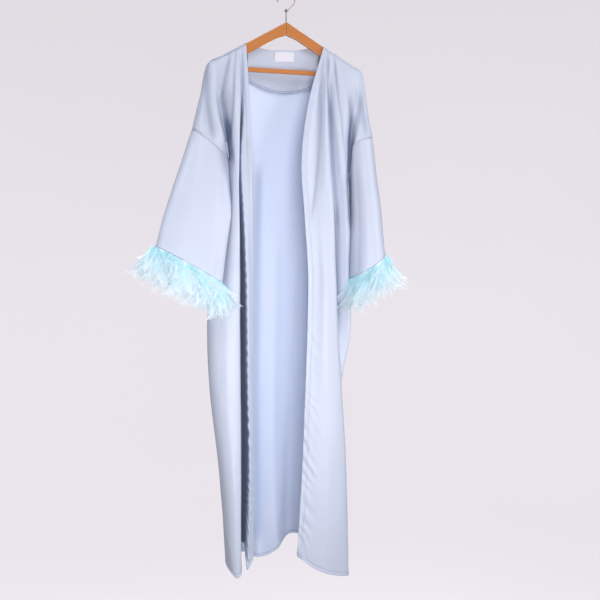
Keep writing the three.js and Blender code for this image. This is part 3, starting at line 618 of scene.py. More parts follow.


# Measured by "dark", it gives the creases' painted shade instead of their height
def crease_relief(grid, rows, measure="height"):
    x, z = np.nan_to_num(grid[..., 0]), np.nan_to_num(grid[..., 2])
    total = np.zeros_like(x)
    for width, height, dark, *path in rows:
        path = np.array(path, float)
        track = spline(path, np.linspace(0, len(path) - 1, 60))
        middle = np.interp(-z, -track[:, 1], track[:, 0])
        inside = smooth((path[0, 1] - z) / FADE + 0.5) * smooth((z - path[-1, 1]) / FADE + 0.5)
        amount = height if measure == "height" else dark
        total += amount * inside * np.exp(-((x - middle) / width) ** 2)
    return total


print("creases:", {name: len(rows) for name, rows in creases.items()})

# %% [markdown]
# ## Hems
# The front edges and the lower hem are turned in twice and stitched, which leaves a narrow
# band, a little proud, with a row of stitches that draws the thin satin into small puckers.
# On the right front they slant, and grow toward the floor.

# %% Hem bands and puckers
EDGE_BAND = 13
HEM_BAND = 9
SHOULDER_SEAM = 15
BAND_RISE = 0.9
STITCH_SINK = 0.9


def band_relief(distance, width):
    """A band along an edge: a step down at its stitches, and the groove that they pull."""
    step = BAND_RISE * (1 - smooth((distance - width + 1.5) / 2.5))
    return step - STITCH_SINK * np.exp(-((distance - width) / 1.6) ** 2)


def puckers(along, off, pitch, reach, height, slant, seed):
    """Small waves across an edge or seam, that die away from it."""
    wander = relief(along, off, 45, 60, seed)
    wave = np.sin(2 * math.pi * (along + slant * off) / pitch + 3.2 * wander)
    strength = 0.55 + 0.45 * relief(along, off, 60, 30, seed + 1)
    return height * wave * strength * np.exp(-(off / reach) ** 2)


STRIP_WAVE = 2.2
STRIP_PITCH = 31
STRIP_LAG = 2  # rows by which the wave goes in later than it goes across
CORNER_Z = -1530


def waved_strip(grid, columns):
    """The left edge strip: its inner corner waves, and at the hem only the strip hangs on."""
    z = grid[..., 2]
    wander = relief(z + 2000, z * 0, size_u=90, size_v=60, seed=71)
    strength = 0.7 + 0.5 * relief(z + 2000, z * 0, size_u=70, size_v=60, seed=72)
    wave = np.nan_to_num(np.sin(2 * math.pi * z / STRIP_PITCH + 2.5 * wander) * strength)
    near = np.exp(-((columns - 0.95) / 0.45) ** 2)[None, :] * mix(0.2, 1, smooth((-z - 550) / 500))
    grid[..., 0] += STRIP_WAVE * wave * near
    grid[..., 1] += STRIP_WAVE * 0.8 * np.roll(wave, STRIP_LAG, axis=0) * near
    calf, hem = LEVEL_Z["calf"], z[-1].copy()
    behind = smooth((columns - 1.0) / 0.2) * smooth((2.1 - columns) / 0.1)
    target = np.maximum(hem, mix(hem, CORNER_Z, behind))
    shorter = (calf - target) / (calf - hem)
    low = z < calf
    grid[..., 2] = np.where(low, calf - (calf - z) * shorter[None, :], z)


SEAM_HOLD = 10  # a panel keeps to its table over this width beside a seam
TOP_HOLD = 12
EDGE_PUCKERS = dict(front_left=dict(reach=10, height=0.8, slant=0.25),
                    front_right=dict(reach=28, height=3.9, slant=-1.1))


def dressed(name):
    """A panel's points with its fine folds, and its distances across and along the cut."""
    grid, columns = panels[name]
    grid = grid.copy()
    if name == "front_left":
        waved_strip(grid, columns)
    u, v = run_length(grid, 1), run_length(grid, 0)
    from_hem = run_length(grid, 0, from_end=True)
    z = np.nan_to_num(grid[..., 2])
    facing = 1 if name == "back" else -1
    move = crease_relief(grid, creases[name])
    loose = smooth((-z - 190) / 120)
    move += 0.9 * relief(u, v, size_u=34, size_v=210, seed=11) * loose
    move += 0.35 * relief(u, v, size_u=16, size_v=60, seed=12) * loose
    move += (band_relief(from_hem, HEM_BAND)
             + puckers(u, from_hem, pitch=21, reach=9, height=0.35, slant=0.5, seed=21))
    if name != "back":
        growth = mix(0.3, 1.0, smooth((-z - 1050) / 250))
        below = smooth((-z - 230) / 120)
        move += below * band_relief(u, EDGE_BAND)
        move += below * growth * puckers(v, u, pitch=38, seed=31, **EDGE_PUCKERS[name])
    outward = normals_of(grid)
    agreement = np.nansum(outward[..., 1] * facing)
    outward *= 1 if agreement > 0 else -1
    to_seam = run_length(grid, 1, from_end=True)
    if name == "back":
        to_seam = np.minimum(to_seam, u)
    edge = smooth(v / TOP_HOLD) * smooth(to_seam / SEAM_HOLD)
    return grid + outward * (move * edge)[..., None], u, v


# %% [markdown]
# ## The cloth as a thin shell
# Cloth has two faces. The right side is the shiny face of the satin, and the wrong side is
# duller and bluer, and shows inside the back. So each grid becomes a closed shell of two
# layers with a narrow rim, the right side in the first material slot and the wrong side in
# the second. Its UV map holds real distances along the cut, so that the weave follows it.

# %% From a grid to a shell
THICK = 1.1


def shell(name, grid, u, v, materials, outward_to, closed=False, thick=THICK, deep=None,
          painted_shade_outside=1.0):
    """A closed thin mesh on a grid. `outward_to` gives each point a direction that is out."""
    rows, count = grid.shape[:2]
    following = (np.arange(count) + 1) % count if closed else np.arange(1, count)
    here = np.arange(len(following))
    key = np.arange(rows * count).reshape(rows, count)
    cells = np.stack([key[:-1][:, here], key[:-1][:, following],
                      key[1:][:, following], key[1:][:, here]], -1).reshape(-1, 4)
    points = grid.reshape(-1, 3)
    cells = cells[~np.isnan(points[cells]).any(axis=(1, 2))]
    face_normal = np.cross(points[cells[:, 2]] - points[cells[:, 0]],
                           points[cells[:, 3]] - points[cells[:, 1]])
    normal = np.zeros_like(points)
    for corner in range(4):
        np.add.at(normal, cells[:, corner], face_normal)
    normal /= np.maximum(np.linalg.norm(normal, axis=1, keepdims=True), 1e-9)
    away = outward_to(points)
    if np.nansum(normal * np.nan_to_num(away)) < 0:
        normal, cells = -normal, cells[:, ::-1]
    outer, inner = points + normal * thick / 2, points - normal * thick / 2
    edges = np.concatenate([cells[:, [a, (a + 1) % 4]] for a in range(4)])
    codes = edges[:, 0] * len(points) + edges[:, 1]
    back_codes = edges[:, 1] * len(points) + edges[:, 0]
    rim = edges[~np.isin(codes, back_codes)]
    shift = len(points)
    faces = np.concatenate([
        cells, cells[:, ::-1] + shift,
        np.stack([rim[:, 1], rim[:, 0], rim[:, 0] + shift, rim[:, 1] + shift], -1)])
    slots = np.repeat([0, 1, 0], [len(cells), len(cells), len(rim)])
    used, faces = np.unique(faces, return_inverse=True)
    faces = faces.reshape(-1, 4)
    mesh = new_mesh(name, np.concatenate([outer, inner])[used] * MM, faces.tolist())
    mesh.polygons.foreach_set("material_index", slots.astype(np.int32))
    set_places(mesh, "cut", np.tile(np.stack([u.ravel(), v.ravel()], -1), (2, 1))[used] * MM)
    # The "deep" attribute carries painted shade, and the outer layer takes only a share of it
    if deep is not None:
        depth = mesh.attributes.new("deep", "FLOAT", "POINT")
        both = [deep.ravel() * painted_shade_outside, deep.ravel()]
        depth.data.foreach_set("value", np.concatenate(both)[used])
    for material in materials:
        mesh.materials.append(material)
    print(name, "shell:", len(faces) * 2, "triangles")
    return linked(name, mesh)

# %% [markdown]
# ## Satin
# Polyester satin: a smooth weave whose long floating threads lie down the cloth, so the
# right side has a broad silky shine over a pale lavender blue, and the wrong side is duller
# and bluer. The threads are far too fine to show from three metres, so the weave is drawn as
# faint long streaks a few millimetres wide, and the shine comes from roughness and sheen.

# %% Satin materials
STREAKS = (300, 14, 1)  # per metre across and along the cut, coarser than the real threads


def satin(name, base, shade, painted_shade_colour, roughness, sheen, weave):
    material, tree = new_material(name)
    cut = cut_of(tree)
    streaks = noise(tree, scaled(tree, cut, STREAKS), detail=3.0)
    dyed = blend(tree, noise(tree, cut, scale=7.0), base, shade)
    # The "deep" attribute says how much painted shade a point gets, and there the colour turns to
    # the painted shade colour
    deep = add_node(tree, "ShaderNodeAttribute", attribute_name="deep").outputs["Fac"]
    surface(tree, {
        "Base Color": blend(tree, deep, dyed, painted_shade_colour),
        "Roughness": ranged(tree, streaks, (roughness - 0.05, roughness + 0.05)),
        "Normal": bump(tree, streaks, weave, 0.6 * MM), "Sheen Weight": sheen,
        "Sheen Roughness": 0.4, "Sheen Tint": linear("e9edff"), "Specular IOR Level": 0.4})
    return material


# The third colour of each side is painted shade, for deep folds, stitched lines and the sleeve
# behind the body
satin_right = satin("satin_right_side", "c8cedd", "c0c8d8", "737f99", 0.42, 0.25, 0.25)
satin_wrong = satin("satin_wrong_side", "dce5f6", "d5dff3", "a9b9d4", 0.6, 0.1, 0.2)
print("satin:", satin_right.name, "and", satin_wrong.name)

# %% The three panels
def drawn_line(distance, at, width=1.3):
    return np.exp(-((distance - at) / width) ** 2)


# Painted shade along the stitched lines of the hems, the front edges and the shoulder seam
PAINTED_STITCH_SHADE = dict(hem=0.45, edge=0.15, shoulder=0.3)  # of the stitched lines


def painted_shade_share(name):
    """How little light reaches each point of a fold or a stitched line, from 0 to 1."""
    grid, columns = panels[name]
    from_hem = run_length(grid, 0, from_end=True)
    painted_line_shade = crease_relief(grid, creases[name], "dark")
    painted_line_shade += PAINTED_STITCH_SHADE["hem"] * drawn_line(from_hem, HEM_BAND)
    if name != "back":
        painted_line_shade += PAINTED_STITCH_SHADE["edge"] * drawn_line(run_length(grid, 1), EDGE_BAND)
        painted_line_shade += PAINTED_STITCH_SHADE["shoulder"] * drawn_line(run_length(grid, 0), SHOULDER_SEAM)
    if name not in PAINTED_FOLD_SHADE:
        return painted_line_shade
    deep = PAINTED_FOLD_SHADE[name]
    (first, last), (top, low), ramp = deep["lines"], deep["z"], deep["ramp"]
    z = np.nan_to_num(grid[..., 2])
    first = first - deep["lead"] * smooth((z - LEVEL_Z["wrist"]) / 120)
    inside = smooth((columns - first) / ramp) * smooth((last - columns) / ramp)
    fold = deep["share"] * inside * smooth((top - z) / 100) * smooth((z - low) / 120)
    return np.maximum(painted_line_shade, fold)


def facing_away(direction):
    return lambda points: np.broadcast_to(np.array(direction, float), points.shape)


# The back's outside gets a fifth of its painted shade
cloth = {}
for name, direction in (("front_left", (0, -1, 0)), ("front_right", (0, -1, 0)),
                        ("back", (0, 1, 0))):
    grid, u, v = dressed(name)
    cloth[name] = shell("satin_" + name, grid, u, v, [satin_right, satin_wrong],
                        facing_away(direction), deep=painted_shade_share(name),
                        painted_shade_outside=0.2 if name == "back" else 1.0)

# %% [markdown]
# ## Sleeves
# A bell sleeve is a tube of cloth that grows from the armhole to the cuff. It hangs in a
# few soft folds that start under the shoulder seam and widen as they fall, so its folds are
# given by their angle round the tube.

# %% Sleeves with their folds
SLEEVE_ROWS = 90
SLEEVE_COLUMNS = 156
UNDERARM_EASE = 1.6
SLEEVE_FOLDS = 5
SLEEVE_FOLD_DEPTH = 1.2
SLEEVE_TUCK = 1.6  # its first row hides under the edge of the armhole
CUFF_BEAD = 0.5  # the turned end of a sleeve stands this proud
CUFF_BAND = 9
CUFF_HOLD = 14  # the folds die away over this length before the cuff

# Angles in degrees round the sleeve at its top and at its cuff, a width and a height
sleeve_creases = dict(
    left=((70, 66, 12, 1.8), (92, 92, 10, -2.0), (112, 118, 10, 1.8), (132, 142, 9, -2.0),
     (44, 38, 10, -1.2), (250, 244, 12, 3.0), (284, 290, 10, -3.0), (224, 214, 9, -2.4)),
    right=((60, 54, 14, 1.6), (92, 92, 12, -1.2), (112, 118, 12, 1.6), (134, 144, 9, -2.4),
     (30, 22, 12, -1.2), (240, 236, 12, 3.0), (280, 286, 10, -3.0), (316, 322, 9, 2.2)),
)
# Painted shade on a sleeve's inner side behind the body, where light hardly reaches: out to this
# line, in millimetres
PAINTED_SLEEVE_SHADE = dict(left=None, right=198)
SHADE_SLANT = 0.3  # the line is read from the front left, so it moves out toward the back
SHADE_Z = (-480, -670)
SHADE_EDGE = 8  # how softly the shade ends, across and down the sleeve
SHADE_END = 60


def sleeve_grid(side):
    share = np.linspace(0, 1, SLEEVE_ROWS)[:, None]
    section = sleeve_section(side, share[:, 0] * 4)
    ease = np.exp(-share[:, 0] * 30)
    tuck = SLEEVE_TUCK * np.exp(-share * 120)
    section["middle"] = (section["middle"] + section["down"] * (SEAM_GAP - tuck)
                         + section["across"] * (UNDERARM_EASE / 2 * ease)[:, None])
    section["half"] = section["half"] - UNDERARM_EASE / 2 * ease - tuck[:, 0] / 2
    section["depth"] = section["depth"] - tuck[:, 0] / 2
    section = {key: value[:, None] for key, value in section.items()}
    angle = np.arange(SLEEVE_COLUMNS)[None, :] / SLEEVE_COLUMNS * 2 * math.pi
    angle = np.broadcast_to(angle, (SLEEVE_ROWS, SLEEVE_COLUMNS))
    middle_share = 4 * share * (1 - share)
    move = SLEEVE_FOLD_DEPTH * middle_share * np.sin(SLEEVE_FOLDS * angle)
    points, outward = ring_point(section, angle), ring_outward(section, angle)
    points[..., 2] += armhole_lift(side, angle) * (1 - share) ** 4
    u = np.cumsum(np.linalg.norm(np.diff(points, axis=1, prepend=points[:, -1:]), axis=-1), 1)
    v = run_length(points, 0)
    for top, cuff, width, height in sleeve_creases[side]:
        off = (np.degrees(angle) - mix(top, cuff, share) + 180) % 360 - 180
        grow = smooth(share / 0.25) * mix(0.6, 1.0, share)
        move = move + height * grow * np.exp(-(off / width) ** 2)
    move = move + 0.8 * relief(u, v, size_u=30, size_v=160, seed=41) * smooth(share / 0.1)
    gathers = puckers(u, v, pitch=19, reach=9, height=0.4, slant=0.2, seed=42)
    move = move + gathers * smooth(v / 3)
    to_cuff = run_length(points, 0, from_end=True)
    move = move * smooth(to_cuff / CUFF_HOLD) + CUFF_BEAD * np.exp(-(to_cuff / CUFF_BAND) ** 2)
    return points + outward * move[..., None], u, v, section["middle"]


def behind_body(side, grid):
    """How little light reaches each point of a sleeve behind the body, from 0 to 1."""
    x, y, z = np.moveaxis(grid, -1, 0)
    if PAINTED_SLEEVE_SHADE[side] is None:
        return np.zeros_like(x)
    inside = smooth((PAINTED_SLEEVE_SHADE[side] - (x - SHADE_SLANT * y)) / SHADE_EDGE)
    top, low = SHADE_Z
    return inside * smooth((top - z) / SHADE_END) * smooth((z - low) / SHADE_END)


for side in ("left", "right"):
    grid, u, v, middle = sleeve_grid(side)
    centre = np.repeat(middle, SLEEVE_COLUMNS, axis=1).reshape(-1, 3)
    cloth["sleeve_" + side] = shell(
        "satin_sleeve_" + side, grid, u, v, [satin_right, satin_wrong],
        lambda points, centre=centre: points - centre, closed=True,
        deep=behind_body(side, grid))

# %% [markdown]
# ## Neck facing and label
# A shaped piece of the same satin lies inside the back neck, right side to the front, with
# its lower edge turned and stitched. Both it and the label are made from the back's own
# points, moved toward the front by a layer's thickness, so they lie on it all over.

# %% A layer on the inside of the back
FACING_LOW_Z = -285
FACING_RISE = 34
FACING_HALF = 106
FACING_MIDDLE = -4
FACING_DISTANCE = 1.95  # from the middle of the back's wall to the middle of the facing
FACING_BAND = 6
FACING_LIFT = 2.0
LABEL_DISTANCE = 3.65
NAPES = (3, 7)  # where the neckline starts and ends, among the back's lines
INSET = 0.06
TOWARD_FRONT = np.array([0, -1, 0])


def back_points(position, falls):
    """Points of the back at one place among its lines, at several falls below the neckline."""
    lines = np.stack([spline(line_points(row, 1), np.asarray(falls) / CHEST_SPAN)
                      for row in back_lines])
    return spline(lines, [position])[0]


def layer_grid(positions, falls_at, count, distance):
    """A grid that lies on the inside of the back, moved toward the front by a distance."""
    columns = [back_points(p, np.linspace(*falls_at(p), count)) for p in positions]
    grid = np.stack(columns, 1)
    normal = normals_of(grid)
    normal *= np.sign(normal @ TOWARD_FRONT)[..., None]
    return grid + normal * distance


def facing_falls(position):
    top = back_points(position, [0.0])[0]
    offside = (top[0] - FACING_MIDDLE) / FACING_HALF
    return 1, top[2] - FACING_LOW_Z - FACING_RISE * offside ** 2


facing = layer_grid(np.linspace(NAPES[0] + INSET, NAPES[1] - INSET, 110), facing_falls, 60,
                    FACING_DISTANCE)
facing_u, facing_v = run_length(facing, 1), run_length(facing, 0)
from_low = run_length(facing, 0, from_end=True)
slanted = facing_v + 0.35 * facing_u
rumple = 1 + relief(facing_u, slanted, size_u=70, size_v=24, seed=51)
lift = FACING_LIFT * rumple * smooth(facing_v / 40)
lift += band_relief(from_low, FACING_BAND) + 0.6
lift += puckers(facing_u, from_low, pitch=19, reach=12, height=0.9, slant=0.3, seed=52)
facing[..., 1] -= lift * smooth(facing_v / TOP_HOLD)
# Painted shade along the facing's stitched line and its lower edge
painted_seam_shade = 0.8 * drawn_line(from_low, FACING_BAND) + 0.8 * drawn_line(from_low, 0, 1.8)
cloth["facing"] = shell("satin_neck_facing", facing, facing_u, facing_v,
                        [satin_right, satin_wrong], facing_away(TOWARD_FRONT), thick=0.9,
                        deep=painted_seam_shade)

# %% A bare woven label
LABEL_X = (-29, 27)
LABEL_TOP = 5
LABEL_FALL = 28
LABEL_LIFT = 0.8  # and this much more where it bows
LABEL_BOW = 0.9


def position_at(x):
    return float(np.interp(x, [row["shoulder"] for row in back_lines], range(len(back_lines))))


label_positions = np.linspace(position_at(LABEL_X[0]), position_at(LABEL_X[1]), 40)
label = layer_grid(label_positions, lambda position: (LABEL_TOP, LABEL_TOP + LABEL_FALL), 24,
                   LABEL_DISTANCE)
label_u, label_v = run_length(label, 1), run_length(label, 0)
bow = smooth(label_v / LABEL_FALL) * np.sin(label_u / label_u.max() * math.pi)
label[..., 1] -= LABEL_LIFT + LABEL_BOW * bow

woven, woven_tree = new_material("woven_polyester_label")
picks = ribs(woven_tree, cut_of(woven_tree), 160.0, "Y", distortion=1.0)
surface(woven_tree, {
    "Base Color": linear("e6e4ec"), "Roughness": 0.55, "Sheen Weight": 0.2,
    "Normal": bump(woven_tree, picks, 0.3, 0.3 * MM)})
cloth["label"] = shell("woven_neck_label", label, label_u, label_v, [woven, woven],
                       facing_away(TOWARD_FRONT), thick=0.7)

# %% [markdown]
# ## The white tape of the cuffs
# The quills are sewn into a narrow glossy ribbon, which is stitched round the end of the
# sleeve. It shows as short bright stretches between the roots of the feathers.

# %% Ribbon round each cuff
TAPE_FALL = 10
TAPE_START = 1.5

ribbon, ribbon_tree = new_material("acetate_ribbon")
cords = ribs(ribbon_tree, cut_of(ribbon_tree), 120.0, "X")
surface(ribbon_tree, {
    "Base Color": linear("f7fbfd"), "Roughness": 0.3, "Sheen Weight": 0.2,
    "Normal": bump(ribbon_tree, cords, 0.3, 0.4 * MM)})


def cuff_ring(side, fall, angle, stand=0.0):
    """Points round the cuff, this far below its edge and this far out from it, in mm."""
    section = sleeve_section(side, np.full(len(angle), 4.0))
    section["middle"] = section["middle"] + section["down"] * fall
    outward = ring_outward(section, angle)
    return ring_point(section, angle) + outward * np.reshape(stand, (-1, 1)), outward


for side in ("left", "right"):
    angle = np.linspace(0, 2 * math.pi, 180, endpoint=False)
    ruffle = 0.5 * np.sin(angle * 31) + 0.4 * np.sin(angle * 13 + 1)
    falls = np.linspace(TAPE_START, TAPE_START + TAPE_FALL, 7)
    rings = [cuff_ring(side, fall, angle, 0.5 + ruffle * k / 6)[0]
             for k, fall in enumerate(falls)]
    grid = np.stack(rings)
    centre = np.tile(grid.mean(1).mean(0), (grid.shape[0] * grid.shape[1], 1))
    u = np.broadcast_to(angle * 70, grid.shape[:2])
    cloth["tape_" + side] = shell("ribbon_" + side, grid, u, run_length(grid, 0),
                                  [ribbon, ribbon],
                                  lambda points, centre=centre: points - centre,
                                  closed=True, thick=0.9)

# %% [markdown]
# ## Feathers
# The cuffs carry dyed turkey plumes: broad soft vanes, aqua at the root and nearly white at
# the tip, with loose wispy barbs. A few plumes are built barb by barb, and Geometry Nodes
# set hundreds of them round each ribbon, so that no two neighbours lie alike.

# %% One plume from a quill and its barbs
PLUME_LENGTH = 100
PLUME_BEND = 26  # how far a bend of 1 takes the tip aside
PLUME_WAVE = 5
QUILL_WIDTH = 0.9
QUILL_DEPTH = (-0.3, 0.4)
QUILL_RINGS = 8
BARBS = 30  # on each side
BARB_WIDTH = 1.9
BARE_QUILL = 0.06  # share of the quill below the first barb


def plume(name, seed, half_width, bend, looseness):
    rng = np.random.default_rng(seed)

    def spine(t):
        return np.array([bend * PLUME_BEND * t ** 2, PLUME_WAVE * math.sin(2.4 * t + seed),
                         PLUME_LENGTH * t])

    points, faces, places = [], [], []

    def add(rows, at):
        start = len(points)
        points.extend(rows)
        places.extend(at)
        return start

    for t in np.linspace(0, 0.97, QUILL_RINGS):
        width = QUILL_WIDTH * (1 - 0.8 * t)
        middle = spine(t)
        add([middle + (-width / 2, QUILL_DEPTH[0], 0), middle + (width / 2, QUILL_DEPTH[0], 0),
             middle + (0, QUILL_DEPTH[1], 0)], [(0, t)] * 3)
    faces += ring_faces(QUILL_RINGS, 3)
    for side in (-1, 1):
        for k in range(BARBS):
            t = BARE_QUILL + 0.92 * (k + rng.uniform(-0.3, 0.3)) / BARBS
            vane = half_width * math.sin(math.pi * (0.14 + 0.74 * t)) ** 0.6
            reach = vane * rng.uniform(0.75, 1.15) * (1 + looseness * (1 - t))
            rise = mix(0.6, 1.5, t) * reach + rng.uniform(-2, 2)
            lift = rng.uniform(-1, 1) * looseness * 5
            root = spine(t)
            mid = root + (side * reach * 0.6, lift * 0.4, rise * 0.42)
            tip = root + (side * reach, lift, rise + rng.uniform(-2, 3) * looseness)
            wide = np.array([0, 0, BARB_WIDTH * (1.5 - 0.5 * t)])
            start = add([root - wide / 2, root + wide / 2, mid + wide / 2, mid - wide / 2, tip],
                        [(0, t), (0, t), (0.6, t), (0.6, t), (1, min(t + 0.15, 1))])
            faces.append((start, start + 1, start + 2, start + 3))
            faces.append((start + 3, start + 2, start + 4))
    mesh = new_mesh(name, np.array(points) * MM, faces)
    set_places(mesh, "vane", np.array(places, float))
    return bpy.data.objects.new(name, mesh)


plumes = bpy.data.collections.new("plumes")
for row in (dict(seed=1, half_width=13, bend=1.1, looseness=0.4),
            dict(seed=2, half_width=10, bend=-1.5, looseness=0.8),
            dict(seed=3, half_width=14, bend=1.9, looseness=0.5),
            dict(seed=4, half_width=8, bend=-2.2, looseness=1.2),
            dict(seed=5, half_width=12, bend=0.3, looseness=0.8)):
    plumes.objects.link(plume(f"plume_{row['seed']}", **row))

# %% [markdown]
# A plume's colour runs from the root to the tip, and each plume is dyed a little more or
# less. Feather has no gloss of its own: the barbs scatter the light, so the surface is
# rough, with a soft sheen along the edges.

# %% Feather material
PAINTED_FEATHER_GLOW = 0.04  # painted glow, standing in for light that the down passes on from barb to barb

feather, feather_tree = new_material("dyed_turkey_plume")
vane = add_node(feather_tree, "ShaderNodeUVMap", uv_map="vane").outputs["UV"]
split = add_node(feather_tree, "ShaderNodeSeparateXYZ", {"Vector": vane})
tint = add_node(feather_tree, "ShaderNodeAttribute", attribute_name="tint").outputs["Fac"]
toward_tip = ranged(feather_tree, split.outputs["Y"], (0, 1), source=(0.1, 0.95))
paled = blend(feather_tree, tint, blend(feather_tree, toward_tip, "ccf4fa", "f6fcfe"), "f3fbff")
feather_shader = add_node(feather_tree, "ShaderNodeBsdfPrincipled", {
    "Base Color": paled, "Roughness": 0.85, "Sheen Weight": 0.3,
    "Sheen Roughness": 0.5, "Sheen Tint": linear("f2fdff"), "Specular IOR Level": 0.2,
    "Emission Color": paled, "Emission Strength": PAINTED_FEATHER_GLOW})
through = add_node(feather_tree, "ShaderNodeBsdfTranslucent", {"Color": paled})
airy = add_node(feather_tree, "ShaderNodeMixShader", {
    "Fac": 0.4, 1: feather_shader.outputs["BSDF"], 2: through.outputs["BSDF"]})
add_node(feather_tree, "ShaderNodeOutputMaterial", {"Surface": airy.outputs["Shader"]})

# %% A Geometry Nodes tree that sets plumes on points
def new_group(name, inputs, output):
    """A Geometry Nodes tree, its input sockets by name, and what they give inside it."""
    tree = bpy.data.node_groups.new(name, "GeometryNodeTree")
    sockets = {title: tree.interface.new_socket(name=title, in_out="INPUT",
                                                socket_type="NodeSocket" + kind)
               for title, kind in inputs.items()}
    tree.interface.new_socket(name=output, in_out="OUTPUT", socket_type="NodeSocketGeometry")
    return tree, sockets, add_node(tree, "NodeGroupInput").outputs


def close_group(tree, instances, material, output):
    """Makes the instances real, gives them their material and hands them out."""
    real = add_node(tree, "GeometryNodeRealizeInstances", {"Geometry": instances})
    finished = add_node(tree, "GeometryNodeSetMaterial", {
        "Geometry": real.outputs["Geometry"], "Material": material})
    add_node(tree, "NodeGroupOutput", {output: finished.outputs["Geometry"]})


planting, sockets, given = new_group(
    "plant_plumes", dict(Points="Geometry", Plumes="Collection", Finish="Material"), "Planted")
kinds = add_node(planting, "GeometryNodeCollectionInfo", {
    "Collection": given["Plumes"], "Separate Children": True, "Reset Children": True})
facts = {fact: add_node(planting, "GeometryNodeInputNamedAttribute", {"Name": fact},
                        data_type=kind)
         for fact, kind in (("direction", "FLOAT_VECTOR"), ("spin", "FLOAT"),
                            ("size", "FLOAT"), ("kind", "INT"))}
aimed = add_node(planting, "FunctionNodeAlignRotationToVector",
                 {"Vector": facts["direction"].outputs["Attribute"]}, axis="Z")
spun = add_node(planting, "FunctionNodeAxisAngleToRotation",
                {"Axis": (0, 0, 1), "Angle": facts["spin"].outputs["Attribute"]})
turned = add_node(planting, "FunctionNodeRotateRotation", {
    "Rotation": aimed.outputs["Rotation"], "Rotate By": spun.outputs["Rotation"]},
    rotation_space="LOCAL")
set_out = add_node(planting, "GeometryNodeInstanceOnPoints", {
    "Points": given["Points"], "Instance": kinds.outputs["Instances"],
    "Pick Instance": True, "Instance Index": facts["kind"].outputs["Attribute"],
    "Rotation": turned.outputs["Rotation"], "Scale": facts["size"].outputs["Attribute"]})
close_group(planting, set_out.outputs["Instances"], given["Finish"], "Planted")
print("planting tree:", len(planting.nodes), "nodes")

# %% [markdown]
# The roots stand in three rows round the ribbon. Each plume hangs down and leans away from
# the arm, most on the outer edge of the sleeve and hardly at all next to the body.

# %% Plumes round each cuff
PLUMES = 460
ROOT_ROWS = (-0.5, 3.5, 8)  # below the edge of the sleeve
BARE_SPELLS = 7  # places round the cuff where the roots sit lower and the ribbon shows
BARE_DROP = 5.0
SPLAY_OUTER = dict(left=0.62, right=0.36)
SPLAY_INNER = 0.05


def with_points(name, positions, **attributes):
    mesh = new_mesh(name, positions * MM)
    for fact, values in attributes.items():
        values = np.asarray(values)
        if values.ndim == 2:
            layer, field = mesh.attributes.new(fact, "FLOAT_VECTOR", "POINT"), "vector"
        elif values.dtype.kind == "i":
            layer, field = mesh.attributes.new(fact, "INT", "POINT"), "value"
        else:
            layer, field = mesh.attributes.new(fact, "FLOAT", "POINT"), "value"
        layer.data.foreach_set(field, values.ravel())
    return linked(name, mesh)


def made_real(source, tree, inputs, name):
    """The plain mesh that a Geometry Nodes tree makes of an object."""
    modifier = source.modifiers.new("nodes", "NODES")
    modifier.node_group = tree
    for socket, value in inputs:
        modifier[socket.identifier] = value
    bpy.context.view_layer.update()
    seen = source.evaluated_get(bpy.context.evaluated_depsgraph_get())
    mesh = bpy.data.meshes.new_from_object(seen)
    source.modifiers.remove(modifier)
    bpy.data.objects.remove(source)
    mesh.name = name
    print(name, "has", sum(len(p.vertices) - 2 for p in mesh.polygons), "triangles")
    return linked(name, mesh)


for side, seed in (("left", 61), ("right", 62)):
    rng = np.random.default_rng(seed)
    angle = (np.arange(PLUMES) + rng.uniform(-0.4, 0.4, PLUMES)) / PLUMES * 2 * math.pi
    row = np.arange(PLUMES) % len(ROOT_ROWS)
    drop = BARE_DROP * smooth(1.4 * np.sin(BARE_SPELLS * angle + seed) - 0.3)
    falls = np.array(ROOT_ROWS)[row] + drop
    roots, outward = cuff_ring(side, falls[:, None], angle, 1.5)
    to_outside = ((1 + np.cos(angle)) / 2)[:, None]
    layer = rng.uniform(0.35, 1.0, (PLUMES, 1))
    splay = mix(SPLAY_INNER, SPLAY_OUTER[side], to_outside) * layer
    around = np.cross(outward, [0, 0, 1])
    direction = np.array([0, 0, -1]) + outward * splay + around * rng.normal(0, 0.45, (PLUMES, 1))
    direction /= np.linalg.norm(direction, axis=1, keepdims=True)
    size = rng.uniform(0.4, 0.98, PLUMES)
    points = with_points("roots_" + side, roots, direction=direction,
                         spin=rng.uniform(0, 2 * math.pi, PLUMES), size=size,
                         kind=rng.integers(0, len(plumes.objects), PLUMES).astype(np.int32),
                         tint=rng.uniform(0, 0.75, PLUMES) ** 1.5)
    cloth["feathers_" + side] = made_real(
        points, planting, [(sockets["Plumes"], plumes), (sockets["Finish"], feather)],
        "feathers_" + side)
for spare in list(plumes.objects):
    bpy.data.objects.remove(spare)

# %% [markdown]
# ## Stitches
# A machine leaves one short thread every three millimetres. A second tree sets a small
# rounded stitch along each seam line, which is taken from the panels' own points.

# %% A tree that sews along a line
STITCH_PITCH = 3.2
STITCH_LENGTH = 2.4
STITCH_WIDTH = 0.45

sewing, sew_sockets, sewn = new_group(
    "sew_stitches", dict(Line="Geometry", Stitch="Object", Pitch="Float", Thread="Material"),
    "Sewn")
as_curve = add_node(sewing, "GeometryNodeMeshToCurve", {"Mesh": sewn["Line"]})
spaced = add_node(sewing, "GeometryNodeResampleCurve", {
    "Curve": as_curve.outputs["Curve"], "Length": sewn["Pitch"]}, mode="LENGTH")
run = add_node(sewing, "GeometryNodeInputTangent")
laid = add_node(sewing, "FunctionNodeAlignRotationToVector",
                {"Vector": run.outputs["Tangent"]}, axis="X")
shape = add_node(sewing, "GeometryNodeObjectInfo", {"Object": sewn["Stitch"]})
each = add_node(sewing, "GeometryNodeInstanceOnPoints", {
    "Points": spaced.outputs["Curve"], "Instance": shape.outputs["Geometry"],
    "Rotation": laid.outputs["Rotation"]})
close_group(sewing, each.outputs["Instances"], sewn["Thread"], "Sewn")

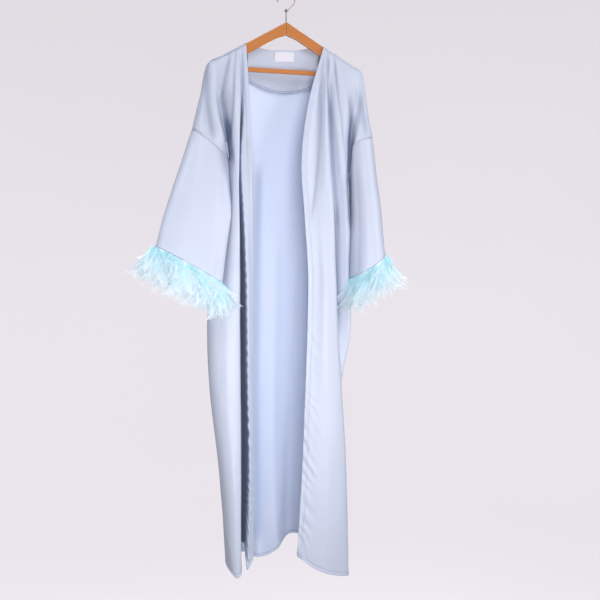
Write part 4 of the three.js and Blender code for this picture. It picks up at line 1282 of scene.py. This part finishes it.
# %% One stitch, and the thread
STITCH_SIDES = 5

ring_angles = np.arange(STITCH_SIDES) / STITCH_SIDES * 2 * math.pi
stations = ((-0.5, 0.35), (-0.2, 1.0), (0.2, 1.0), (0.5, 0.35))  # along, and share of width
stitch_points = [(at * STITCH_LENGTH, share * STITCH_WIDTH / 2 * math.cos(a),
                  share * STITCH_WIDTH / 2 * math.sin(a))
                 for at, share in stations for a in ring_angles]
ends = [tuple(reversed(range(STITCH_SIDES))), tuple(range(len(stitch_points) - STITCH_SIDES,
                                                              len(stitch_points)))]
stitch = bpy.data.objects.new("stitch", new_mesh(
    "stitch", np.array(stitch_points) * MM, ring_faces(len(stations), STITCH_SIDES) + ends,
    rounded=False))

thread, thread_tree = new_material("polyester_thread")
ply = ribs(thread_tree, place_of(thread_tree), 900.0, "DIAGONAL")
surface(thread_tree, {
    "Base Color": linear("9dabc9"), "Roughness": 0.5, "Sheen Weight": 0.2,
    "Normal": bump(thread_tree, ply, 0.4, 0.1 * MM)})

# %% Seam lines taken from the panels
STAND = THICK / 2 + 0.1  # from the middle of the cloth to the thread
STITCH_INSET = 0.4  # from the edge of a band
FIRST_SEWN_ROW = 20


def line_on(grid, distances, at, start=0):
    """Points of a grid where a distance has a value, one for each row or column."""
    picked = []
    for points, along in zip(grid, distances):
        good = ~np.isnan(points[:, 0])
        order = np.argsort(along[good])
        if good.sum() > 1 and along[good].max() > at:
            picked.append([np.interp(at, along[good][order], points[good][order][:, k])
                           for k in range(3)])
    return np.array(picked)[start:] + TOWARD_FRONT * STAND


def path_object(name, lines):
    starts = np.cumsum([0] + [len(line) for line in lines])
    edges = [(a + k, a + k + 1) for a, line in zip(starts, lines) for k in range(len(line) - 1)]
    return linked(name, new_mesh(name, np.concatenate(lines) * MM, edges=edges))


def across_of(grid):
    return grid.transpose(1, 0, 2)


seams = []
for name in ("front_left", "front_right"):
    grid, u, v = dressed(name)
    seams.append(line_on(grid, u, EDGE_BAND - STITCH_INSET, start=FIRST_SEWN_ROW))
for name in ("front_left", "front_right", "back"):
    grid, u, v = dressed(name)
    from_hem = run_length(grid, 0, from_end=True)
    seams.append(line_on(across_of(grid), from_hem.T, HEM_BAND - STITCH_INSET))
seams.append(line_on(across_of(facing), from_low.T, FACING_BAND - STITCH_INSET))
cloth["stitches"] = made_real(
    path_object("seam_lines", seams), sewing,
    [(sew_sockets["Stitch"], stitch), (sew_sockets["Pitch"], STITCH_PITCH * MM),
     (sew_sockets["Thread"], thread)], "hem_stitches")
bpy.data.objects.remove(stitch)

# %% [markdown]
# ## Hanger
# The CAD nodes of the hanger already have the right shape, so they stay and get their
# finish: beech stained a warm orange brown and lacquered, with the grain along each arm, and
# a nickel-plated wire hook. The pattern reads Object coordinates. Both arms slope away from
# the middle, so the grain is drawn on one arm and mirrored by taking X without its sign.

# %% Lacquered beech
MITRE_HALF = 0.6 * MM  # half of the dark joint between the arms
MITRE_LOW_Z = -200 * MM  # the joint ends above the bar
GRAIN = (14, 260, 420)  # per metre along the arm, through it and up it
FLECKS = (120, 900, 1500)

wood, wood_tree = new_material("lacquered_beech")
wood_split = add_node(wood_tree, "ShaderNodeSeparateXYZ", {"Vector": place_of(wood_tree)})
half_x = worked_out(wood_tree, "ABSOLUTE", wood_split.outputs["X"])
folded = add_node(wood_tree, "ShaderNodeCombineXYZ", {
    "X": half_x, "Y": wood_split.outputs["Y"], "Z": wood_split.outputs["Z"]})
along_arm = add_node(wood_tree, "ShaderNodeMapping", {
    "Vector": folded.outputs["Vector"],
    "Rotation": (0, -math.atan(ARM_SLOPE), 0)}).outputs["Vector"]
grain = noise(wood_tree, scaled(wood_tree, along_arm, GRAIN), detail=5.0, roughness=0.6)
flecks = noise(wood_tree, scaled(wood_tree, along_arm, FLECKS))
stain = blend(wood_tree, grain, "b5682e", "d88b45")
flecked = blend(wood_tree, ranged(wood_tree, flecks, (0, 0.45), source=(0.55, 0.8)), stain,
                "8f4d1f")
joint = worked_out(
    wood_tree, "MULTIPLY", worked_out(wood_tree, "LESS_THAN", half_x, MITRE_HALF),
    worked_out(wood_tree, "GREATER_THAN", wood_split.outputs["Z"], MITRE_LOW_Z))
surface(wood_tree, {
    "Base Color": blend(wood_tree, joint, flecked, "6d3a17"), "Roughness": 0.42,
    "Coat Weight": 0.35, "Coat Roughness": 0.2,
    "Normal": bump(wood_tree, grain, 0.2, 0.3 * MM)})

# %% Nickel-plated wire
plated, plated_tree = new_material("nickel_plated_wire")
drawn = noise(plated_tree, scaled(plated_tree, place_of(plated_tree), (900, 900, 120)))
surface(plated_tree, {
    "Base Color": blend(plated_tree, drawn, "8d8479", "a79c8e"), "Metallic": 1.0,
    "Roughness": ranged(plated_tree, drawn, (0.28, 0.42))})

for name, finish in (("hanger_arms", wood), ("hanger_bar", wood), ("hanger_hook", plated),
                     ("hook_pin", plated)):
    node = frame["nodes"][name]
    node.data.materials.clear()
    node.data.materials.append(finish)
    print(name, "is", finish.name)

# %% [markdown]
# ## Everything rides on the frame
# Each piece is tied to the body that it moves with and says which CAD node it stands for,
# and that node is hidden. Cloth is listed with the size that it was cut to and the area
# that its shell shows.

# %% Ride and replace
stands_for = dict(
    front_left=("front_left", "satin"), front_right=("front_right", "satin"),
    back=("back", "satin"), sleeve_left=("sleeve_left", "satin"),
    sleeve_right=("sleeve_right", "satin"), facing=("neck_facing", "satin"),
    label=("neck_label", "label"), tape_left=("feather_cuff_left", "feathers"),
    tape_right=("feather_cuff_right", "feathers"),
    feathers_left=("feather_cuff_left", "feathers"),
    feathers_right=("feather_cuff_right", "feathers"), stitches=(None, "satin"),
)
for key, (node_name, slot_name) in stands_for.items():
    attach(cloth[key], "root")
    if node_name:
        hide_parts(node_name)

# %% Flat cuts
# Sizes in metres, and areas in square metres measured on the finished shells
cuts = [
    dict(key="front_left", flat=(0.40, 1.50), area=0.370, held="hung", rests_on="hanger_arms"),
    dict(key="front_right", flat=(0.40, 1.52), area=0.327, held="hung", rests_on="hanger_arms"),
    dict(key="back", flat=(0.72, 1.50), area=0.722, held="hung", rests_on="hanger_arms"),
    dict(key="sleeve_left", flat=(0.46, 0.42), area=0.131, held="hung", rests_on="back"),
    dict(key="sleeve_right", flat=(0.46, 0.42), area=0.103, held="hung", rests_on="back"),
    dict(key="facing", flat=(0.23, 0.14), area=0.0239, held="laid", rests_on="back"),
    dict(key="label", flat=(0.056, 0.029), area=0.0016, held="laid", rests_on="facing"),
    dict(key="tape_left", flat=(0.46, 0.012), area=0.0049, held="gathered",
         rests_on="sleeve_left", carries="feathers_left"),
    dict(key="tape_right", flat=(0.42, 0.012), area=0.0044, held="gathered",
         rests_on="sleeve_right", carries="feathers_right"),
]
for cut in cuts:
    print(cut["key"], "is cut from", cut["flat"], "and shows", cut["area"], "square metres")

# %% [markdown]
# ## Studio
# A plain pale cove runs all the way round, far behind the garment, so the picture has no
# horizon from any side. Only the camera sees it: the soft light of the room reaches the
# cloth through it. The lamp that does most for the front hangs before the garment, a little
# below its middle, and four others open up the sides, the shoulders and the back.

# %% Cove
FLOOR_Z = -2.15
FLAT_RADIUS = 3.4
CURVE_RADIUS = 2.2
WALL_TOP = 4.0
COVE_SIDES = 96

profile = [(0.0, FLOOR_Z), (FLAT_RADIUS / 2, FLOOR_Z), (FLAT_RADIUS, FLOOR_Z)]
profile += [(FLAT_RADIUS + CURVE_RADIUS * math.sin(a),
             FLOOR_Z + CURVE_RADIUS * (1 - math.cos(a)))
            for a in np.linspace(0, math.pi / 2, 25)[1:]]
profile.append((FLAT_RADIUS + CURVE_RADIUS, WALL_TOP))
cove_points = [(r * math.cos(a), r * math.sin(a), z) for r, z in profile
               for a in np.arange(COVE_SIDES) / COVE_SIDES * 2 * math.pi]
cove = linked("cove", new_mesh("cove", cove_points, ring_faces(len(profile), COVE_SIDES)))
cove.visible_diffuse = cove.visible_glossy = cove.visible_shadow = False

PAINTED_PAPER_LIGHT = 0.86  # painted light: the paper glows, as though lit from behind as well

paper, paper_tree = new_material("studio_paper")
paper_place = place_of(paper_tree)
fibres = noise(paper_tree, paper_place, scale=0.6)
height = add_node(paper_tree, "ShaderNodeSeparateXYZ", {"Vector": paper_place}).outputs["Z"]
# The painted light is strongest at eye height and a tenth weaker halfway up the wall
surface(paper_tree, {
    "Base Color": linear("8a878c"), "Roughness": 0.95, "Specular IOR Level": 0.1,
    "Emission Color": blend(paper_tree, fibres, "ece7ed", "f1ecf2"),
    "Emission Strength": ranged(paper_tree, height, (PAINTED_PAPER_LIGHT, PAINTED_PAPER_LIGHT * 0.9),
                                source=(EYE_Z, WALL_TOP / 2))})
cove.data.materials.append(paper)

# %% Soft light
ROOM_LIGHT = 0.3
world = bpy.data.worlds.new("room")
world.use_nodes = True
world.node_tree.nodes.clear()
room = add_node(world.node_tree, "ShaderNodeBackground", {
    "Color": linear("f4f3fa"), "Strength": ROOM_LIGHT})
add_node(world.node_tree, "ShaderNodeOutputWorld", {"Surface": room.outputs["Background"]})
scene.world = world

lamps = [
    dict(name="key", place=(-0.2, -1.7, -1.0), aim=(0, 0, -1.02), size=1.0, spread=100, power=7.8),
    dict(name="right_fill", place=(2.4, -1.6, 0.1), aim=(0.1, 0, -0.7), size=1.4, spread=90,
         power=8.9),
    dict(name="left_fill", place=(-2.7, -0.6, -0.5), aim=(-0.1, 0, -0.9), size=1.4, spread=90,
         power=4.2),
    dict(name="top", place=(-0.2, -1.8, 1.6), aim=(0, 0, -0.2), size=1.2, spread=60, power=3.2),
    dict(name="behind", place=(0.4, 3.0, 0.4), aim=(0, 0, -0.8), size=2.0, spread=80, power=15),
]
for lamp in lamps:
    light = bpy.data.lights.new(lamp["name"], "AREA")
    light.size = lamp["size"]
    light.energy = lamp["power"]
    light.spread = math.radians(lamp["spread"])
    light.color = linear("fbfaff")[:3]
    made = bpy.data.objects.new(lamp["name"], light)
    scene.collection.objects.link(made)
    made.location = lamp["place"]
    aim = Vector(lamp["aim"]) - made.location
    made.rotation_euler = aim.to_track_quat("-Z", "Y").to_euler()
    made.visible_camera = False
scene.view_settings.view_transform = "Standard"
print("lamps:", [lamp["name"] for lamp in lamps])
